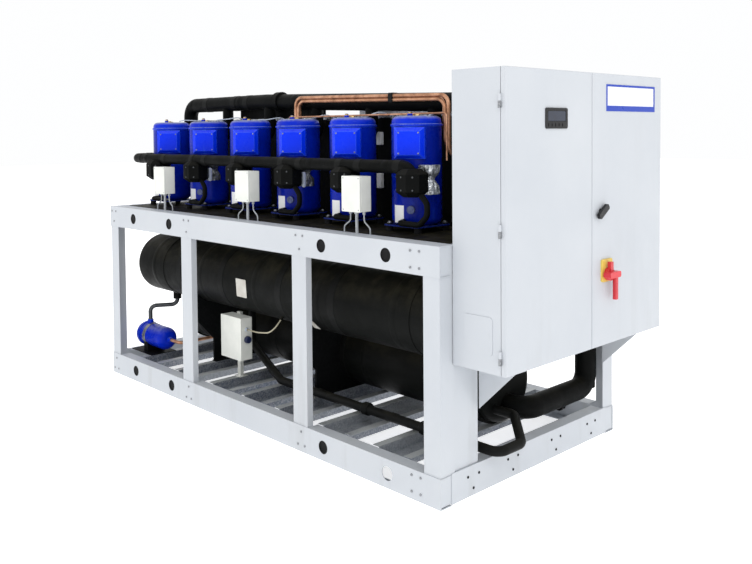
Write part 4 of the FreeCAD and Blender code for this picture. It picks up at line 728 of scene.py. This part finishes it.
def add_tapes():
    """Turns of tape over the insulation's butt joints."""
    header = Shape()
    header.tapes([(x, SUCTION_Y, SUCTION_Z)
                  for x in (-1.52, -1.20, -0.86, -0.72, -0.40, 0.05, 0.20, 0.52, 0.66, 0.93)],
                 X_AXIS, SUCTION_RADIUS, 0.046)
    header.tapes([(SUCTION_LEFT, y, SUCTION_Z) for y in (-0.42, -0.20)], Y_AXIS, SUCTION_RADIUS, 0.046)
    header.tapes([SUCTION_DROP_PLACE + (z,) for z in (1.30, 1.18, 0.98)], Z_AXIS, SUCTION_RADIUS, 0.046)
    header.piece("suction_tapes", TAPE_LOOK, "insulation")
    upper = Shape()
    upper.tapes([(x, UPPER_Y, UPPER_Z) for x in (-1.25, -0.92, -0.78)], X_AXIS, UPPER_RADIUS, 0.05)
    for z, radius in ((1.55, 0.050), (1.30, 0.050), (0.95, 0.056)):
        upper.tapes([RISER_PLACE + (z,)], Z_AXIS, radius, 0.05, 0.0016)
    upper.piece("discharge_tapes", TAPE_LOOK, "insulation")
    vessels = Shape()
    vessels.tapes([(x, EVAPORATOR_Y, EVAPORATOR_Z) for x in (-1.10, -0.62, -0.05, 0.40)],
                  X_AXIS, EVAPORATOR_RADIUS, 0.055, 0.0016, 96)
    vessels.tapes([(x, CONDENSER_Y, CONDENSER_Z) for x in (-1.20, -0.55, 0.10, 0.80)],
                  X_AXIS, CONDENSER_RADIUS, 0.055, 0.0016, 96)
    vessels.piece("vessel_tapes", TAPE_LOOK, "insulation")
    floor_line = Shape()
    floor_line.tapes([(x, FLOOR_LINE_Y, FLOOR_LINE_Z) for x in (-0.05, 0.18, 0.75, 1.05)],
                     X_AXIS, FLOOR_LINE_RADIUS, 0.04)
    floor_line.piece("liquid_tapes", TAPE_LOOK, "insulation")


def add_panel_edge():
    """Crumpled foil folded over the backing panel's top edge."""
    low, high = PANEL_TOP_EDGE
    columns, margin, gap, crease = 420, 0.002, 0.0002, 0.001
    loops = []
    for k in range(columns + 1):
        x = low.x + margin + (high.x - low.x - 2 * margin) * k / columns
        drop = (0.013 + 0.010 * noise.noise(Vector((x * 9.0, 1.0, 2.0)))
                + 0.005 * noise.noise(Vector((x * 41.0, 4.0, 2.0))))
        rise = 0.004 + 0.003 * abs(noise.noise(Vector((x * 23.0, 7.0, 1.0))))
        puff = 0.0016 + 0.0012 * noise.noise(Vector((x * 57.0, 3.0, 5.0)))
        front, back, top = low.y - puff, high.y + puff, high.z + rise
        outline = [(front + 0.0008, high.z - drop), (front, high.z - drop * 0.5),
                   (front + crease, top - crease), ((front + back) / 2, top),
                   (back - crease, top - crease), (back, high.z - drop * 0.6),
                   (high.y + gap, high.z - drop * 0.6), (high.y + gap, high.z + gap),
                   (low.y - gap, high.z + gap), (low.y - gap, high.z - drop)]
        loops.append([Vector((x, y, z)) for y, z in outline])
    edge = Shape()
    edge.loops(loops)
    edge.piece("panel_edge_foil", EDGE_FOIL_LOOK, "zinc", smooth=False)


def add_contactor_blocks():
    """Pale moulded blocks on the backing panel between the last two shells."""
    blocks = Shape()
    for z, height in ((1.310, 0.082), (1.547, 0.072)):
        blocks.card((0.366, PANEL_FACE, z + height / 2), X_AXIS, Z_AXIS, 0.034, height, 0.024, 0.006, 0.003)
    blocks.piece("contactor_blocks", LABEL_LOOK, "plate_paint")


def add_service_valves():
    """Pale service valves beside the foam blocks of the second and fourth shells."""
    bodies = Shape()
    for number in (2, 4):
        bodies.turned((SHELLS[number - 1].x + 0.192, -0.462, 1.322), Z_AXIS,
                      [(0.0, 0.004), (0.003, 0.009), (0.010, 0.012), (0.074, 0.012),
                       (0.081, 0.009), (0.084, 0.004)], 28)
    bodies.piece("service_valves", PALE_LOOK, "conduit_plastic")


def add_cap_leads():
    """Thin pale leads that arch from each cap back to the backing panel."""
    steps, around, radius, bow = 26, 10, 0.0034, 0.020
    leads = Shape()
    for number, axis in enumerate(SHELLS, 1):
        start = Vector((axis.x + 0.052, axis.y + 0.030, CAP_TOP + 0.003))
        end = Vector((axis.x + 0.118, PANEL_FACE, CAP_TOP - 0.020))
        arch = 0.018 + 0.006 * (number % 3)
        loops = []
        for k in range(steps + 1):
            share = k / steps
            swell = math.sin(math.pi * share)
            lift = arch * swell + 0.005 * math.sin(9.0 * share + number)
            place = start.lerp(end, share) + Vector((bow * swell, 0.0, lift))
            loops.append([place + Vector((math.cos(2 * math.pi * j / around), 0.0,
                                          math.sin(2 * math.pi * j / around))) * radius
                          for j in range(around)])
        leads.loops(loops)
    leads.piece("cap_leads", PALE_LOOK, "conduit_plastic")


def add_rear_tray():
    """A pale cable tray that stands on the backing panel's top edge, behind the upper header."""
    tray = Shape()
    tray.card((0.420, TRAY_FACE, 1.745), X_AXIS, Z_AXIS, 0.480, 0.080, 0.012, 0.004, 0.002)
    tray.piece("cable_tray", TRAY_LOOK, "frame_paint")


def add_hole_plugs():
    """Black rubber cups pushed into the lifting holes, all but one that stays open at the front."""
    profile = [(0.0045, 0.0326), (0.0005, 0.0326), (0.0, 0.0318), (0.0005, 0.0308), (0.028, 0.0300),
               (0.0305, 0.029), (0.034, 0.0326), (0.0045, 0.0326)]
    open_hole = (1, LIFTING_HOLES[-1], LIFTING_LEVELS[0])
    plugs = Shape()
    for inward in (1, -1):
        for along in LIFTING_HOLES:
            for z in LIFTING_LEVELS:
                if (inward, along, z) != open_hole:
                    plugs.turned((FRAME_LEFT + along, -inward * FRAME_SIDE, z), (0, inward, 0), profile, 40)
    plugs.piece("hole_plugs", LOOKS["rubber"], "rubber")


def add_drier_band():
    """Steel clamp round the drier with its bolt, and the brass disc of its cover."""
    band = Shape()
    band.sleeve((DRIER_X, DRIER_Y, DRIER_Z), X_AXIS, DRIER_RADIUS - 0.0001, DRIER_RADIUS + 0.0026,
                0.034, 0.001, 64)
    band.hexagon((DRIER_X, DRIER_Y - 0.077, DRIER_Z + 0.010), TO_FRONT, 0.008, 0.007)
    band.piece("drier_band", LOOKS["zinc"], "zinc")
    disc = Shape()
    disc.turned((DRIER_END, DRIER_Y, DRIER_Z), (-1, 0, 0),
                [(0.0, 0.030), (0.002, 0.030), (0.004, 0.026), (0.004, 0.012), (0.007, 0.010)], 40)
    disc.piece("drier_disc", BRASS_LOOK, "sight_brass")


def add_foot_bolts():
    """A washer and a hexagon head on each rubber grommet."""
    bolts = Shape()
    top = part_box("rubber_grommets")[1].z
    for axis in SHELLS:
        for sx in (-FOOT_HOLE, FOOT_HOLE):
            for sy in (-FOOT_HOLE, FOOT_HOLE):
                x, y = axis.x + sx, axis.y + sy
                bolts.turned((x, y, top + 0.0002), Z_AXIS, [(0.0, 0.0125), (0.0014, 0.0125), (0.002, 0.0118)],
                             24)
                bolts.hexagon((x, y, top + 0.0022), Z_AXIS, 0.0088, 0.0062)
    bolts.piece("foot_bolts", LOOKS["zinc"], "zinc")


def add_end_rail_screws():
    """Blackened screws in threes along the right end's bottom rail."""
    screws = Shape()
    for middle in (-0.478, -0.190, 0.160, 0.478):
        for along, z in ((-0.038, 0.095), (0.038, 0.095), (0.0, 0.037)):
            screws.turned((END_FACE + 0.0002, middle + along, z), X_AXIS,
                          [(0.0, 0.0062), (0.0016, 0.0062), (0.0030, 0.0044)], 16)
    screws.piece("end_rail_screws", LOOKS["rubber"], "zinc")


def add_screen():
    """The operator panel's glass."""
    low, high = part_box("display_panel")
    middle = ((low.x + high.x) / 2 + 0.0002, (low.y + high.y) / 2, low.z + 0.054)
    glass = Shape()
    glass.card(middle, Y_AXIS, Z_AXIS, 0.130, 0.043, 0.0012, 0.004)
    glass.piece("screen_glass", GLASS_LOOK, "black_plastic", "left_door_leaf")


def add_foam_pins():
    """Small pins that hold each foam block's jacket, on its left and front sides."""
    reach = BLOCK_RADIUS * math.cos(math.radians(22.5)) - 0.0005
    pins = Shape()
    for axis in SHELLS:
        for side in (4, 5, 6, 7):
            turn = math.radians(45 * side)
            out = Vector((math.cos(turn), math.sin(turn), 0.0))
            for z in (1.352, 1.412):
                place = Vector((axis.x + BLOCK_SIDE, BLOCK_Y, z)) + out * reach
                pins.turned(place, out, [(0.0, 0.0042), (0.0014, 0.0042), (0.0022, 0.003)], 12)
    pins.piece("jacket_pins", PIPE_LOOK, "zinc")


add_labels()
add_foil_wraps()
add_cap_fittings()
add_cover_screws()
add_small_box_details()
add_tapes()
add_panel_edge()
add_contactor_blocks()
add_service_valves()
add_cap_leads()
add_rear_tray()
add_hole_plugs()
add_drier_band()
add_foot_bolts()
add_end_rail_screws()
add_screen()
add_foam_pins()


# ---------------------------------------------------------------- light, floor
WORLD_COLOUR = (0.99, 0.995, 1.0, 1.0)
WORLD_STRENGTH = 1.0
FLOOR_REACH = 40.0
FLOOR_GLOW = 0.6


def add_light(name, place, aim, energy, width, depth):
    """A soft rectangular lamp that points at the aim."""
    data = bpy.data.lights.new(name, "AREA")
    data.energy = energy
    data.shape = "RECTANGLE"
    data.size = width
    data.size_y = depth
    light = bpy.data.objects.new(name, data)
    light.location = place
    light.rotation_euler = (Vector(aim) - Vector(place)).to_track_quat("-Z", "Y").to_euler()
    bpy.context.scene.collection.objects.link(light)


def add_floor():
    """A plain pale floor that glows a little, so that its gaps between the beams stay white."""
    mesh = bpy.data.meshes.new("floor")
    corners = [(x * FLOOR_REACH, y * FLOOR_REACH, 0.0) for x, y in ((-1, -1), (1, -1), (1, 1), (-1, 1))]
    mesh.from_pydata(corners, [], [(0, 1, 2, 3)])
    floor = bpy.data.objects.new("floor", mesh)
    bpy.context.scene.collection.objects.link(floor)
    p = Paint("floor_paint")
    mesh.materials.append(p.finish(p.clouds(0.8, 3.0, (0.93, 0.93, 0.93), (0.95, 0.95, 0.95))))
    p.set(Roughness=0.9, Emission_Color=(1.0, 1.0, 1.0, 1.0), Emission_Strength=FLOOR_GLOW)


def add_world():
    world = bpy.data.worlds.new("studio")
    world.use_nodes = True
    back = world.node_tree.nodes["Background"]
    back.inputs["Color"].default_value = WORLD_COLOUR
    back.inputs["Strength"].default_value = WORLD_STRENGTH
    bpy.context.scene.world = world


add_floor()
add_world()
add_light("key", place=(5.6, -4.0, 6.0), aim=(0.2, -0.4, 0.9), energy=70.0, width=2.2, depth=2.2)
add_light("fill", place=(-4.0, -4.5, 3.5), aim=(-0.5, 0.0, 0.8), energy=10.0, width=4.0, depth=3.0)
add_light("rim", place=(2.5, 4.5, 4.0), aim=(0.3, 0.2, 1.0), energy=20.0, width=3.0, depth=3.0)
bpy.context.scene.view_settings.view_transform = "Standard"
